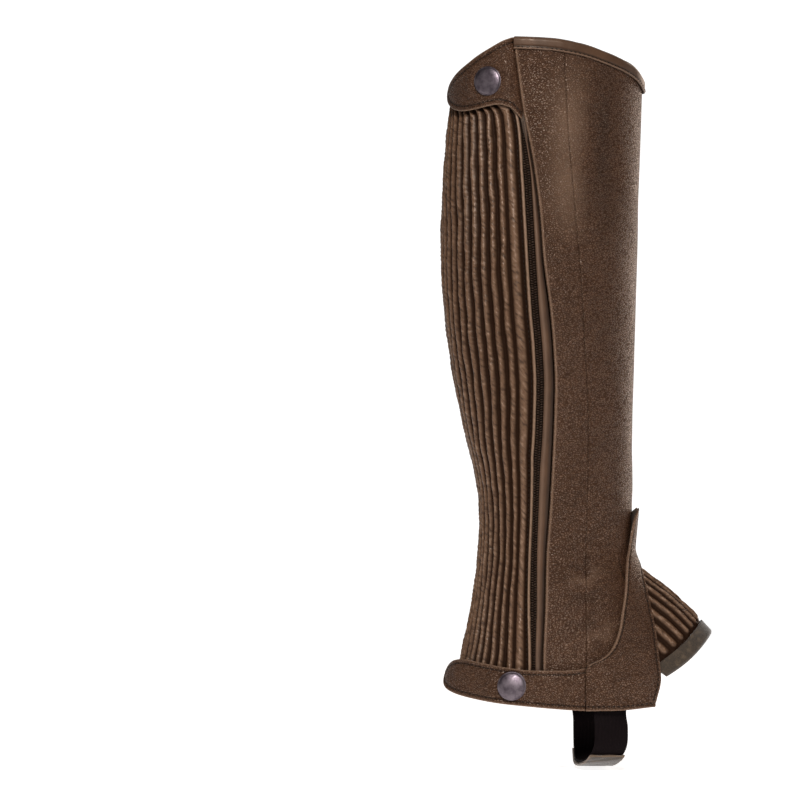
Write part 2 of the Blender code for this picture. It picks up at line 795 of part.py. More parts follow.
def gusset_surface(turn, back):
    """Point of the gusset's inner face, a distance back from its free edge along a rib."""
    seam, toe = instep_seam(turn), gusset_toe(turn)
    share = back / (seam - toe).length
    ridge = (RIDGE_END - instep_seam(0.0)).normalized()
    up = Vector((-ridge.z, 0.0, ridge.x))
    return toe.lerp(seam, share) + up * GUSSET_BOW * math.sin(math.pi * share) * math.cos(math.radians(turn))


def rib_length(turn):
    """Length of the gusset along a rib, from its free edge to its seam."""
    return (instep_seam(turn) - gusset_toe(turn)).length


def band_depth(turn):
    """Depth of the band on the gusset's free edge, cut short by the seam at its ends."""
    return min(GUSSET_BAND_DEPTH, rib_length(turn) - BAND_END_GAP)


def build_gusset(collection):
    """The ribbed gusset over the instep, flat inside its band and next to its seam."""

    def row_back(turn, row):
        if row == 0:
            return BINDING + SEAM_GAP
        free_start = band_depth(turn) + SEAM_GAP
        return mix(free_start, rib_length(turn) - SEAM_GAP, GUSSET_ROWS[row - 1])

    def place(u, v):
        turn = mix(-GUSSET_TURN, GUSSET_TURN, u)
        return gusset_surface(turn, row_back(turn, round(v * len(GUSSET_ROWS))))

    def wall(u, v):
        turn = mix(-GUSSET_TURN, GUSSET_TURN, u)
        ribbed = round(v * len(GUSSET_ROWS)) in RIBBED_ROWS
        on_crest = round(u * 2 * GUSSET_RIBS) % 2 == 1
        free_length = rib_length(turn) - band_depth(turn)
        crest = mix(GUSSET_WALL, GUSSET_CREST, ease((free_length - 3.0) / 9.0))
        return crest if ribbed and on_crest else GUSSET_WALL

    add_wall("gusset", RIBBED, 2 * GUSSET_RIBS, len(GUSSET_ROWS), place, wall, -1, collection)


def build_gusset_band(collection):
    """The folded band on the gusset's free edge."""
    low, high = -FOLD_GAP, GUSSET_WALL + FOLD_GAP
    section = ((low, 1.0), (low, 0.0), (high, 0.0), (high, 1.0))

    def place(u, v):
        out, share = section[round(v * (len(section) - 1))]
        turn = mix(-GUSSET_TURN, GUSSET_TURN, u)
        back = mix(BINDING, band_depth(turn), share)
        return stand_off(gusset_surface, turn, back, out)

    add_wall("gusset_band", SUEDE, 32, len(section) - 1, place, BINDING, -1, collection)


def strap_place(u, v, width, out, reach=1.0):
    """Point of the strap: u across it towards the back, v along it from the inner to the outer end."""
    along = mix(-reach, reach, v)
    side = mix(STRAP_INNER, STRAP_OUTER, ease((along - STRAP_TWIST_START) / STRAP_TWIST_RUN))
    x = side + width * (0.5 - u)
    if abs(along) <= STRAP_HANG:
        turn = along / STRAP_HANG * math.pi / 2
        y = -math.copysign(abs(math.sin(turn)) ** STRAP_FULLNESS, turn) * (STRAP_SPREAD + out)
        deep = STRAP_FREE - STRAP_LOWEST + out
        return Vector((x, y, STRAP_FREE - deep * math.cos(turn) ** STRAP_FULLNESS))
    climb = (abs(along) - STRAP_HANG) / (1.0 - STRAP_HANG)
    height = mix(STRAP_FREE, STRAP_TOP, climb)
    free = Vector((x, -math.copysign(STRAP_SPREAD + out, along), height))
    # The inner end lies inside the hem binding, the outer one inside the bare panel
    inside = -LEATHER - SEAM_GAP if along > 0 else INNER_FACE - FOLD_GAP - BINDING - SEAM_GAP
    angle = math.copysign(side_angle(x, height), along)
    return free.lerp(on_leg(angle, height, inside - STRAP), ease((height - STRAP_FREE) / STRAP_HUG))


def build_foot_strap(collection):
    """The elastic strap under the boot, sewn inside the hem at both ends."""

    def place(u, v):
        return strap_place(u, v, STRAP_WIDTH, 0.0)

    add_wall("foot_strap", WEBBING, 4, 28, place, STRAP, -1, collection)


def build_strap_pad(collection):
    """The leather wear pad under the strap's lowest stretch."""

    def place(u, v):
        return strap_place(u, v, PAD_WIDTH, STRAP + SEAM_GAP, reach=PAD_REACH)

    add_wall("strap_pad", SUEDE, 4, 16, place, LEATHER, -1, collection)


def stand_on(piece, snap, out):
    """Put a piece on the leg at a snap's place, with its own Z pointing out."""
    centre = on_leg(snap.angle, snap.height, out)
    outward = on_leg(snap.angle, snap.height, out + 1.0) - centre
    piece.location = centre * MM
    piece.rotation_euler = outward.to_track_quat("Z", "Y").to_euler()


def build_snap(name, snap, out, collection):
    """A domed snap cap, turned from its profile."""
    profile = [Vector((0.0, 0.0, SNAP_DOME))]
    for step in range(1, 5):
        turn = math.radians(22.5 * step)
        drop = SNAP_EDGE + (SNAP_DOME - SNAP_EDGE) * math.cos(turn)
        profile.append(Vector((SNAP_RADIUS * math.sin(turn), 0.0, drop)))
    profile.append(Vector((SNAP_RADIUS - 0.5, 0.0, 0.0)))
    profile.append(Vector((0.0, 0.0, 0.0)))
    mesh = bpy.data.meshes.new(name)
    edges = [(i, i + 1) for i in range(len(profile) - 1)]
    mesh.from_pydata([point * MM for point in profile], edges, [])
    piece = add_object(name, mesh, PEWTER, collection)
    turned = piece.modifiers.new("Turned", "SCREW")
    turned.steps = turned.render_steps = SNAP_STEPS
    turned.use_merge_vertices = True
    turned.merge_threshold = 0.00001
    stand_on(piece, snap, out)


def build_zip_slider(collection):
    """The zip's slider with its pull lying flat below it, in one solid."""
    bm = bmesh.new()
    body = bmesh.ops.create_cube(bm, size=1.0)["verts"]
    bmesh.ops.scale(bm, verts=body, vec=SLIDER_SIZE)
    foot = [face for face in bm.faces if face.normal.z < -0.9]
    bmesh.ops.inset_region(bm, faces=foot, thickness=0.4)
    drawn = bmesh.ops.extrude_face_region(bm, geom=foot)
    pull = [part for part in drawn["geom"] if isinstance(part, bmesh.types.BMVert)]
    bmesh.ops.delete(bm, geom=foot, context="FACES")
    for vert in pull:
        vert.co.x = math.copysign(PULL_SIZE.x / 2, vert.co.x)
        vert.co.z -= PULL_SIZE.z
    bmesh.ops.scale(bm, verts=bm.verts, vec=Vector((MM, MM, MM)))
    mesh = bpy.data.meshes.new("zip_slider")
    bm.to_mesh(mesh)
    bm.free()
    piece = add_object("zip_slider", mesh, PEWTER, collection)
    centre = on_leg(*SLIDER_PLACE, INNER_FACE + SLIDER_SIZE.y / 2)
    outward = on_leg(*SLIDER_PLACE, 4.0) - centre
    piece.location = centre * MM
    piece.rotation_euler = (0.0, 0.0, math.atan2(outward.y, outward.x) + math.pi / 2)
    edges = piece.modifiers.new("Edges", "BEVEL")
    edges.width = SLIDER_BEVEL * MM
    edges.segments = 1


def main():
    for old in list(bpy.data.objects):
        bpy.data.objects.remove(old, do_unlink=True)
    collection = bpy.data.collections.new("Half chap")
    bpy.context.scene.collection.children.link(collection)
    build_main_panel(collection)
    build_side_panel(collection)
    build_rib_panel(collection)
    build_zip_tape(collection)
    build_zip_slider(collection)
    build_placket(collection)
    build_top_tab(collection)
    build_ankle_tab(collection)
    build_outer_flap(collection)
    build_inner_flap(collection)
    build_gusset(collection)
    build_gusset_band(collection)
    build_top_binding(collection)
    build_hem_binding(collection)
    build_calf_patch(collection)
    build_foot_strap(collection)
    build_strap_pad(collection)
    build_snap("top_snap", TOP_SNAP, TAB_OVER_ZIP + LEATHER + SEAM_GAP, collection)
    build_snap("ankle_snap", ANKLE_SNAP, TAB_OVER_ZIP + LEATHER + SEAM_GAP, collection)


main()
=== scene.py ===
"""Dressed model of a half chap for a rider's right leg, in pebbled brown leather.

The solids of the frame give each piece its place. Every cut piece of leather or cloth is laid here
again as a fine grid, with its turned edges, seams, stitch troughs, ribs and puckers as geometry.
The toe side faces +X, the outer side -Y and the knee +Z. Sizes are in millimetres unless a name
says otherwise, and meshes are made in metres.

A place on the chap is an angle and a height on the leather's outer face: 0 degrees is the shin,
90 the outer side, 180 the back and -90 the inner side. "Out" is the distance outside that face.
"""

import logging
import math
from collections.abc import Callable, Sequence
from dataclasses import dataclass, field, replace
from enum import Enum
from typing import NamedTuple

import bmesh
import bpy
import numpy as np
from mathutils import Matrix, Vector


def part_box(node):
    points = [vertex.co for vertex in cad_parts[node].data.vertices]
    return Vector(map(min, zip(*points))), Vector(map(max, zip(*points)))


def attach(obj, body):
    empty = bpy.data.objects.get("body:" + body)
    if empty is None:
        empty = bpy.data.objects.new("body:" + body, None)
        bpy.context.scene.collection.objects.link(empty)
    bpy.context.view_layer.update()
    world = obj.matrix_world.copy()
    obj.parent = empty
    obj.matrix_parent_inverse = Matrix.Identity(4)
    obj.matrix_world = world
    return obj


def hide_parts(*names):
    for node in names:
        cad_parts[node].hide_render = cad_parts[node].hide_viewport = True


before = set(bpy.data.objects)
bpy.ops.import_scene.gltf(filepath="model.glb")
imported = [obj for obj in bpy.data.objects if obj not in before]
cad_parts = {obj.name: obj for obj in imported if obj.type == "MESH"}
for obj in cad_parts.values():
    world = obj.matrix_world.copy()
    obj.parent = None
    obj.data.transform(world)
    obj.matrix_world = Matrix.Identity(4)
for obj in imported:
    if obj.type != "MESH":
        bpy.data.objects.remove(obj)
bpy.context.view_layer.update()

Array = np.ndarray  # of angles, heights, shares or points, mostly as a grid [u, v]
log = logging.getLogger("half_chap")

MM = 0.001  # metres in a millimetre
BODY = "root"  # the one rigid body that every piece rides on

# ---- The shape of the leg that the chap is filled out by ----


class LegSection(NamedTuple):
    """One level of the leg, seen from the side and from the front."""

    height: float
    back: float
    front: float
    half_width: float


class Level(NamedTuple):
    """A height at an angle round the leg."""

    angle: float
    height: float


class OuterSeams(NamedTuple):
    """Places of the outer seams in the side view at one height."""

    height: float
    rib_edge: float
    placket_edge: float
    side_edge: float
    front_seam: float


class InnerSeam(NamedTuple):
    """The inner seam's angle at one height."""

    height: float
    angle: float


class FlapRow(NamedTuple):
    """The rear edges of the instep flaps in the side view at one height."""

    height: float
    outer_rear: float
    inner_rear: float


class InstepEdge(NamedTuple):
    """The front edge that both instep flaps share, in the side view at one height."""

    height: float
    front: float


class TabEdges(NamedTuple):
    """A tab's lower and upper edge at one angle."""

    angle: float
    lower: float
    upper: float


class PatchRow(NamedTuple):
    """The calf patch's edges in the side view at one height."""

    height: float
    rear: float
    front: float


def rows(kind: type, *values: tuple[float, ...]) -> tuple[NamedTuple, ...]:
    """A table's rows, each with its columns named by the kind of row."""
    return tuple(kind(*row) for row in values)


LEG = rows(
    LegSection,
    (-290, -56.0, 83.0, 45.5), (-275, -54.5, 84.5, 44.5), (-263, -51.5, 84.5, 43.5),
    (-250, -47.3, 82.0, 42.0), (-229, -42.7, 75.5, 40.0), (-212, -39.8, 68.0, 38.5),
    (-196, -38.0, 58.9, 38.0), (-184, -37.2, 55.0, 38.0), (-170, -36.6, 55.3, 38.6),
    (-156, -37.2, 56.1, 39.8), (-137, -40.0, 56.3, 41.5), (-119, -44.5, 56.7, 44.0),
    (-82, -52.0, 57.6, 48.5), (-46, -57.4, 58.4, 51.5), (-10, -59.8, 59.1, 53.0),
    (28, -59.0, 59.8, 53.0), (64, -56.5, 60.8, 52.5), (98, -53.0, 62.6, 51.0),
    (130, -54.0, 65.0, 51.0),
)
EGG = 0.12  # how much narrower the leg is at the shin than at the calf

TOP_EDGE = rows(
    Level,
    (-180, 95.5), (-150, 99.5), (-120, 104.0), (-90, 106.5), (-60, 106.0), (-30, 103.5),
    (0, 100.0), (34, 109.5), (55, 115.2), (73, 120.0), (91, 122.8), (112, 123.8),
    (118, 117.0), (135, 108.0), (150, 101.0), (180, 95.5),
)
HEM_EDGE = rows(
    Level,
    (-180, -264.0), (-150, -267.5), (-120, -269.5), (-90, -273.5),
    (-60, -279.5), (-40, -279.5), (40, -277.5), (62, -278.5),
    (90, -275.5), (120, -270.5), (150, -267.0), (180, -264.0),
)
OUTER_SEAMS = rows(
    OuterSeams,
    (-285, -6.5, -4.0, 0.5, 27.0), (-255, -6.5, -4.0, 0.5, 27.0), (-217, -7.0, -3.0, 2.0, 27.0),
    (-190, -6.5, -2.8, 2.6, 27.3), (-162, -5.5, -2.0, 4.5, 27.8), (-134, -5.0, -1.0, 6.0, 28.3),
    (-112, -5.2, 0.4, 7.0, 28.3), (-86, -7.0, 1.0, 7.5, 27.4), (-64, -7.5, 0.0, 6.5, 25.8),
    (-41, -9.0, -2.0, 4.5, 24.6), (-10, -10.5, -4.0, 0.5, 22.7), (16, -10.5, -5.5, -1.5, 20.3),
    (40, -11.5, -7.0, -4.5, 18.0), (58, -12.4, -9.6, -7.5, 16.4), (76, -14.6, -12.2, -11.4, 15.1),
    (84, -21.0, -17.0, -12.6, 14.8), (93, -28.6, -20.0, -13.8, 14.4),
    (112, -30.5, -21.0, -16.2, 13.4),
    (126, -30.5, -21.0, -18.0, 13.0),
)
INNER_SEAM = rows(
    InnerSeam,
    (-285, -141), (-212, -138), (-163, -134), (-119, -131), (-73, -134),
    (-32, -139.5), (16, -142), (64, -141), (120, -139),
)
FLAP_ROWS = rows(
    FlapRow,
    (-281.0, 25.9, 48.4), (-270.0, 25.9, 48.4), (-257.0, 25.9, 48.5),
    (-254.6, 27.0, 48.7), (-251.5, 33.5, 49.0), (-248.0, 38.3, 49.2),
    (-243.5, 41.8, 49.4), (-238.0, 44.2, 49.6), (-231.0, 46.1, 49.2),
    (-222.0, 47.5, 48.0), (-212.0, 49.0, 46.0), (-203.0, 49.8, 44.0),
    (-194.0, 50.3, 43.0), (-184.0, 51.2, 44.2), (-175.0, 52.2, 47.4),
    (-168.0, 53.4, 50.2), (-164.0, 54.6, 52.6), (-161.5, 55.8, 55.0),
)
INSTEP_EDGE = rows(
    InstepEdge,
    (-290.0, 65.0), (-279.5, 67.5), (-263.0, 71.0), (-249.5, 69.6), (-236.0, 68.0),
    (-222.0, 65.4), (-211.0, 63.0), (-203.0, 60.8), (-195.0, 58.4),
)
INSTEP_APEX = -195.0  # top of the front panel's cut over the instep
OPENING_LAP = 2.0
OPENING_FOOT = -278.0

TOP_TAB = rows(
    TabEdges,
    (104, 72.5, 124.5), (108, 76.5, 124.5), (111, 79.6, 124.0), (116, 81.8, 122.0),
    (120, 82.4, 120.2), (126, 81.6, 117.2), (135, 79.8, 113.0), (144, 79.0, 108.4),
    (154, 80.2, 103.8), (163, 83.0, 99.5), (170, 86.3, 95.6), (173, 89.3, 92.3),
)
ANKLE_TAB = rows(
    TabEdges,
    (76, -281.6, -254.0), (82, -281.4, -255.8), (88, -281.0, -257.0), (95, -280.4, -257.5),
    (109, -279.0, -257.5), (125, -277.4, -256.0), (141, -275.2, -254.0), (156, -273.0, -252.8),
    (166, -271.0, -254.4), (173, -268.4, -257.6), (177, -265.2, -261.2),
)
TOP_SNAP = Level(127.6, 97.0)
ANKLE_SNAP = Level(118.9, -267.0)

CALF_PATCH = rows(
    PatchRow,
    (-145.0, 6.5, 25.0), (-141.0, -4.0, 38.0), (-134.0, -11.5, 44.0), (-122.0, -15.5, 47.5),
    (-108.0, -19.0, 50.0), (-70.0, -24.5, 51.8), (-30.0, -29.0, 52.6), (10.0, -32.5, 53.2),
    (45.0, -32.3, 53.8), (60.0, -29.5, 53.0), (69.0, -21.5, 49.5), (74.0, -10.0, 44.0),
    (77.0, 10.0, 33.0),
)


class Course:
    """One column of a table, read smoothly along the table's first column."""

    def __init__(self, rows: Sequence[NamedTuple], column: str) -> None:
        """Read the column and its slopes.

        Args:
            rows: The table, in the order of its first column.
            column: Name of the column to read.
        """
        self.at = np.array([row[0] for row in rows], float)
        self.values = np.array([getattr(row, column) for row in rows], float)
        steps = np.diff(self.values) / np.diff(self.at)
        before, after = steps[:-1], steps[1:]
        product = before * after
        total = np.where(product > 0.0, before + after, 1.0)
        inner = np.where(product > 0.0, 2.0 * product / total, 0.0)
        self.slopes = np.concatenate(([steps[0]], inner, [steps[-1]]))

    def __call__(self, where: Array | float) -> Array:
        """The column's value, linear beyond the table's ends.

        Args:
            where: Place or places along the table's first column.

        Returns:
            The value at each place.
        """
        where = np.asarray(where, float)
        inside = np.clip(where, self.at[0], self.at[-1])
        row = np.clip(np.searchsorted(self.at, inside, side="right") - 1, 0, len(self.at) - 2)
        span = self.at[row + 1] - self.at[row]
        s = (inside - self.at[row]) / span
        value = (
            (1 + 2 * s) * (1 - s) ** 2 * self.values[row]
            + s * (1 - s) ** 2 * span * self.slopes[row]
            + s * s * (3 - 2 * s) * self.values[row + 1]
            + s * s * (s - 1) * span * self.slopes[row + 1]
        )
        beyond = where - inside
        return value + beyond * np.where(beyond > 0.0, self.slopes[-1], self.slopes[0])


leg_back = Course(LEG, "back")
leg_front = Course(LEG, "front")
leg_half_width = Course(LEG, "half_width")
top_edge = Course(TOP_EDGE, "height")
hem_edge = Course(HEM_EDGE, "height")
instep_front = Course(INSTEP_EDGE, "front")
inner_seam = Course(INNER_SEAM, "angle")


def mix(a, b, share):
    """The value a given share of the way from a to b, for numbers or arrays."""
    return a + (b - a) * share


def ease(share):
    """0 to 1 with a soft start and end, for numbers or arrays."""
    share = np.clip(share, 0.0, 1.0)
    return share * share * (3.0 - 2.0 * share)


def bell(distance, width):
    """1 at no distance, falling softly to nothing over about twice the width."""
    return np.exp(-((distance / width) ** 2))


def wrapped(angle):
    """The same direction between -180 and 180 degrees."""
    return (angle + 180.0) % 360.0 - 180.0


def leg_surface(angle: Array, height: Array) -> Array:
    """Points of the leather's outer face round the leg.

    Args:
        angle: Angles in degrees.
        height: Heights, of the same shape.

    Returns:
        The points, with x, y and z along a last axis.
    """
    turn = np.radians(angle)
    back, front = leg_back(height), leg_front(height)
    x = mix(back, front, 0.5 + 0.5 * np.cos(turn))
    y = -leg_half_width(height) * np.sin(turn) * (1.0 - EGG * np.cos(turn))
    return np.stack([x, y, height + 0.0 * turn], axis=-1)


def unit(vectors: Array) -> Array:
    """The same directions with a length of 1."""
    return vectors / np.maximum(np.linalg.norm(vectors, axis=-1, keepdims=True), 1e-9)


def leg_normal(angle: Array, height: Array) -> Array:
    """Directions straight out of the leather round the leg."""
    along_a = leg_surface(angle + 0.5, height) - leg_surface(angle - 0.5, height)
    along_b = leg_surface(angle, height + 0.5) - leg_surface(angle, height - 0.5)
    return unit(np.cross(along_b, along_a))


def on_leg(angle, height, out) -> Array:
    """Points out from the leather round the leg."""
    angle, height, out = np.broadcast_arrays(
        np.asarray(angle, float), np.asarray(height, float), np.asarray(out, float)
    )
    return leg_surface(angle, height) + leg_normal(angle, height) * out[..., None]


def side_angle(x, height):
    """The angle on the outer side where the leg is at x in the side view."""
    back, front = leg_back(height), leg_front(height)
    reach = (2.0 * x - front - back) / (front - back)
    return np.degrees(np.arccos(np.clip(reach, -1.0, 1.0)))


def seam_angle(column: str) -> Callable:
    """The angle of an outer seam as a function of height."""
    course = Course(OUTER_SEAMS, column)
    return lambda height: side_angle(course(height), height)


rib_edge = seam_angle("rib_edge")
placket_edge = seam_angle("placket_edge")
side_edge = seam_angle("side_edge")
front_seam = seam_angle("front_seam")


def instep_angle(height, back_by=0.0):
    """The angle of the instep's cut edge, which parts at the apex."""
    return np.where(height > INSTEP_APEX, 0.0, side_angle(instep_front(height) - back_by, height))


def gap_angle(width, height):
    """Degrees that a width takes up round the leg at the zip."""
    return np.degrees(2.0 * width / (leg_front(height) - leg_back(height)))


# ---- Folds, creases and uneven filling that every piece on the leg follows ----


class Crease(NamedTuple):
    """A soft trough, or a ridge where its depth is negative, between two places on the leg."""

    start_angle: float
    start_height: float
    end_angle: float
    end_height: float
    depth: float
    width: float


CREASES = rows(
    Crease,
    # Outer side, above the ankle
    (84, -198, 60, -190, 0.60, 3.6), (86, -207, 56, -198, -0.45, 3.6),
    (88, -218, 60, -207, 0.70, 3.8), (92, -234, 68, -222, 0.65, 3.6),
    (80, -240, 60, -230, -0.40, 3.6), (76, -182, 52, -172, 0.50, 3.6),
    (90, -160, 66, -150, 0.40, 4.2),
    # Outer side, at the calf, where the leather turns to the shin
    (78, 104, 75, 2, -0.85, 9.0), (53, 108, 51, 8, 0.85, 6.5),
    (80, 62, 64, 40, 0.25, 9.0), (84, 4, 70, -26, 0.25, 10.0),
    # Shin, over the bend of the ankle
    (34, -150, -30, -158, 0.35, 6.0), (22, -128, -46, -120, 0.25, 7.0),
    (14, 30, -22, 16, 0.25, 10.0), (10, -60, -26, -76, 0.22, 9.0),
    # Inner side, above the ankle
    (-62, -178, -92, -190, 0.45, 5.0), (-58, -205, -100, -214, 0.40, 5.0),
    (-66, -232, -104, -228, 0.35, 5.0), (-96, -160, -122, -150, 0.30, 6.0),
    # Inner side, behind the patch
    (-112, 84, -124, 30, 0.30, 8.0), (-104, -152, -112, -110, 0.25, 7.0),
)
LEG_GIRTH_RADIUS = 50.0  # turns an angle into a distance for the creases
CREASE_BEND = 2.5  # how far a crease swings to the side of its straight line
CREASE_SWINGS = 3.0
CREASE_END = 0.08  # a crease starts and ends at this share of half a wave, so not quite at nothing


def crease_depth(angle: Array, height: Array) -> Array:
    """How deep the creases press the leather in at each place.

    Args:
        angle: Angles in degrees.
        height: Heights, of the same shape.

    Returns:
        The depth, more than 0 in a trough.
    """
    scale = math.radians(1.0) * LEG_GIRTH_RADIUS
    across = wrapped(angle) * scale
    total = np.zeros(np.broadcast(angle, height).shape)
    for crease in CREASES:
        start = np.array((crease.start_angle * scale, crease.start_height))
        run = np.array((crease.end_angle * scale, crease.end_height)) - start
        along = ((across - start[0]) * run[0] + (height - start[1]) * run[1]) / (run @ run)
        held = np.clip(along, 0.0, 1.0)
        bend = CREASE_BEND * np.sin(CREASE_SWINGS * held * math.pi)
        off_x = across - start[0] - held * run[0]
        off_y = height - start[1] - held * run[1] - bend
        fade = np.sin(mix(CREASE_END, 1.0 - CREASE_END, held) * math.pi)
        total += crease.depth * fade * bell(np.hypot(off_x, off_y), crease.width)
    return total


class Swell(NamedTuple):
    """One slow wave of the leather's uneven filling."""

    rise: float
    turns: float
    climbs: float
    phase: float


SWELLS = rows(
    Swell,
    (0.30, 2.0, 1.3, 0.4), (0.22, 3.0, -2.1, 2.2), (0.16, 5.0, 3.4, 4.1), (0.10, 8.0, -5.2, 1.3),
)
SWELL_HEIGHT = 380.0


def uneven(angle: Array, height: Array) -> Array:
    """The leather's slow swells and creases, as a distance out."""
    turn = np.radians(angle)
    climb = height / SWELL_HEIGHT * 2.0 * math.pi
    total = -crease_depth(angle, height)
    for wave in SWELLS:
        total = total + wave.rise * np.sin(wave.turns * turn + wave.climbs * climb + wave.phase)
    return total


def wander(where: Array, seed: float) -> Array:
    """A smooth irregular line between about -1 and 1, the same on each run.

    Args:
        where: Places along the line, in steps of about one swing.
        seed: Picks one of many such lines.

    Returns:
        The line's value at each place.
    """
    return (
        0.5 * np.sin(1.7 * where + 5.1 * seed)
        + 0.3 * np.sin(3.1 * where + 11.7 * seed + 1.3)
        + 0.2 * np.sin(5.3 * where + 3.9 * seed + 2.6)
    )


# ---- Finishes ----


Colour = tuple[float, float, float, float]


def tone(red: int, green: int, blue: int) -> Colour:
    """A colour as the shader reads it, from the values seen on a screen.

    Args:
        red: Red from 0 to 255.
        green: Green from 0 to 255.
        blue: Blue from 0 to 255.

    Returns:
        The linear colour with full opacity.
    """
    seen = [value / 255.0 for value in (red, green, blue)]
    linear = [v / 12.92 if v <= 0.04045 else ((v + 0.055) / 1.055) ** 2.4 for v in seen]
    return (*linear, 1.0)


class Shader:
    """A material's node tree, built up node by node."""

    def __init__(self, name: str) -> None:
        """Start a material with its Principled shader and object coordinates.

        Args:
            name: The material's name.
        """
        self.material = bpy.data.materials.new(name)
        self.material.use_nodes = True
        self.tree = self.material.node_tree
        self.surface = self.tree.nodes["Principled BSDF"]
        self.place = self.add("ShaderNodeTexCoord").outputs["Object"]

    def add(self, kind: str, **settings) -> bpy.types.Node:
        """Add a node, with its properties set."""
        node = self.tree.nodes.new(kind)
        for key, value in settings.items():
            setattr(node, key, value)
        return node

    def plug(self, source, target) -> None:
        """Link an output to an input, or set the input to a plain value."""
        if isinstance(source, bpy.types.NodeSocket):
            self.tree.links.new(source, target)
        else:
            target.default_value = source

    def attribute(self, name: str):
        """The value that the mesh holds under a name."""
        return self.add("ShaderNodeAttribute", attribute_name=name).outputs["Fac"]

    def cut(self):
        """The piece's own flat coordinates, in metres along its width and length."""
        return self.add("ShaderNodeUVMap", uv_map="Cut").outputs["UV"]

    def math(self, operation: str, a, b=0.0, clamp: bool = False):
        """One step of arithmetic on two values."""
        node = self.add("ShaderNodeMath", operation=operation, use_clamp=clamp)
        self.plug(a, node.inputs[0])
        self.plug(b, node.inputs[1])
        return node.outputs[0]

    def scaled(self, vector, scale: Sequence[float], turn: float = 0.0, axis: str = "Z"):
        """Coordinates turned about an axis by an angle in degrees, then stretched."""
        turned = self.add("ShaderNodeVectorRotate", rotation_type=f"{axis}_AXIS")
        self.plug(vector, turned.inputs["Vector"])
        turned.inputs["Angle"].default_value = math.radians(turn)
        node = self.add("ShaderNodeMapping", vector_type="POINT")
        self.plug(turned.outputs[0], node.inputs["Vector"])
        node.inputs["Scale"].default_value = scale
        return node.outputs[0]

    def pattern(self, kind: str, vector, numbers: dict[str, float], **settings) -> bpy.types.Node:
        """A texture node, with its coordinates and numbers set."""
        node = self.add(kind, **settings)
        self.plug(vector, node.inputs["Vector"])
        for key, value in numbers.items():
            node.inputs[key].default_value = value
        return node

    def noise(self, vector, scale: float, detail: float = 2.0, roughness: float = 0.5):
        """Soft random values from 0 to 1."""
        numbers = {"Scale": scale, "Detail": detail, "Roughness": roughness}
        return self.pattern("ShaderNodeTexNoise", vector, numbers).outputs["Fac"]

    def cells(self, vector, scale: float):
        """Distance within a pattern of cells, 0 at their borders."""
        kind = "ShaderNodeTexVoronoi"
        node = self.pattern(kind, vector, {"Scale": scale}, feature="DISTANCE_TO_EDGE")
        return node.outputs["Distance"]

    def cell_values(self, vector, scale: float):
        """One random value from 0 to 1 for each cell of the pattern."""
        node = self.pattern("ShaderNodeTexVoronoi", vector, {"Scale": scale}, feature="F1")
        return node.outputs["Color"]

    def sum(self, *parts):
        """Values added up, each given with its weight."""
        total = 0.0
        for value, weight in parts:
            node = self.add("ShaderNodeMath", operation="MULTIPLY_ADD")
            for source, target in zip((value, weight, total), node.inputs):
                self.plug(source, target)
            total = node.outputs[0]
        return total

    def stretch(self, value, low: float, high: float, to_low: float = 0.0, to_high: float = 1.0):
        """A value moved from one range to another, softly at both ends."""
        node = self.add("ShaderNodeMapRange", interpolation_type="SMOOTHSTEP")
        for source, key in zip((value, low, high, to_low, to_high), node.inputs):
            self.plug(source, key)
        return node.outputs[0]

    def blend(self, share, a, b):
        """A colour between two colours."""
        node = self.add("ShaderNodeMix", data_type="RGBA", blend_type="MIX")
        self.plug(share, node.inputs["Factor"])
        self.plug(a, node.inputs[6])
        self.plug(b, node.inputs[7])
        return node.outputs[2]

    def jitter(self, vector, scale: float, amount: float):
        """Coordinates pushed about by a soft random field, amount in metres."""
        node = self.pattern("ShaderNodeTexNoise", vector, {"Scale": scale, "Detail": 1.0})
        push = self.add("ShaderNodeVectorMath", operation="MULTIPLY_ADD")
        self.plug(node.outputs["Color"], push.inputs[0])
        push.inputs[1].default_value = (amount, amount, amount)
        self.plug(vector, push.inputs[2])
        return push.outputs[0]

    def relief(self, height, depth: float):
        """Bumps of a depth in metres from heights of 0 to 1."""
        node = self.add("ShaderNodeBump")
        node.inputs["Strength"].default_value = 1.0
        node.inputs["Distance"].default_value = depth
        self.plug(height, node.inputs["Height"])
        return node.outputs[0]

    def with_wear_and_painted_light(self, colour, worn_and_sheen: Colour, lighten_share: float, painted_shade: Colour):
        """A colour lightened and darkened where the mesh's layers say so: edges lighter from use,
        painted highlights along raised edges and crease ridges, and painted shade in seams, stitch
        troughs and creases.

        Args:
            colour: The colour before these marks.
            worn_and_sheen: What it lightens to, for edges lighter from use and for painted
                highlights.
            lighten_share: Share of the mesh's lightening layer that shows.
            painted_shade: The colour of the painted shade.

        Returns:
            The colour with its lighter edges, painted highlights and painted shade.
        """
        # lighter edges and painted highlights first, then painted shade over them
        lightened = self.math("MULTIPLY", self.attribute("wear"), lighten_share, clamp=True)
        return self.blend(self.attribute("painted_shade"), self.blend(lightened, colour, worn_and_sheen), painted_shade)

    def shine(self, strength, tint: Colour) -> None:
        """Set how strong the highlights are and what they are tinted with."""
        self.plug(strength, self.surface.inputs["Specular IOR Level"])
        self.surface.inputs["Specular Tint"].default_value = tint

    def dress(self, colour, roughness, normal=None) -> None:
        """Join colour, roughness and bumps to the shader."""
        self.plug(colour, self.surface.inputs["Base Color"])
        self.plug(roughness, self.surface.inputs["Roughness"])
        if normal is not None:
            self.plug(normal, self.surface.inputs["Normal"])


GLAZE = (1.0, 0.80, 0.66, 1.0)  # warm tint of the highlights on brown leather
# colour of the painted shade in seams, stitch troughs and creases
PAINTED_SHADE_DARK = tone(28, 17, 11)


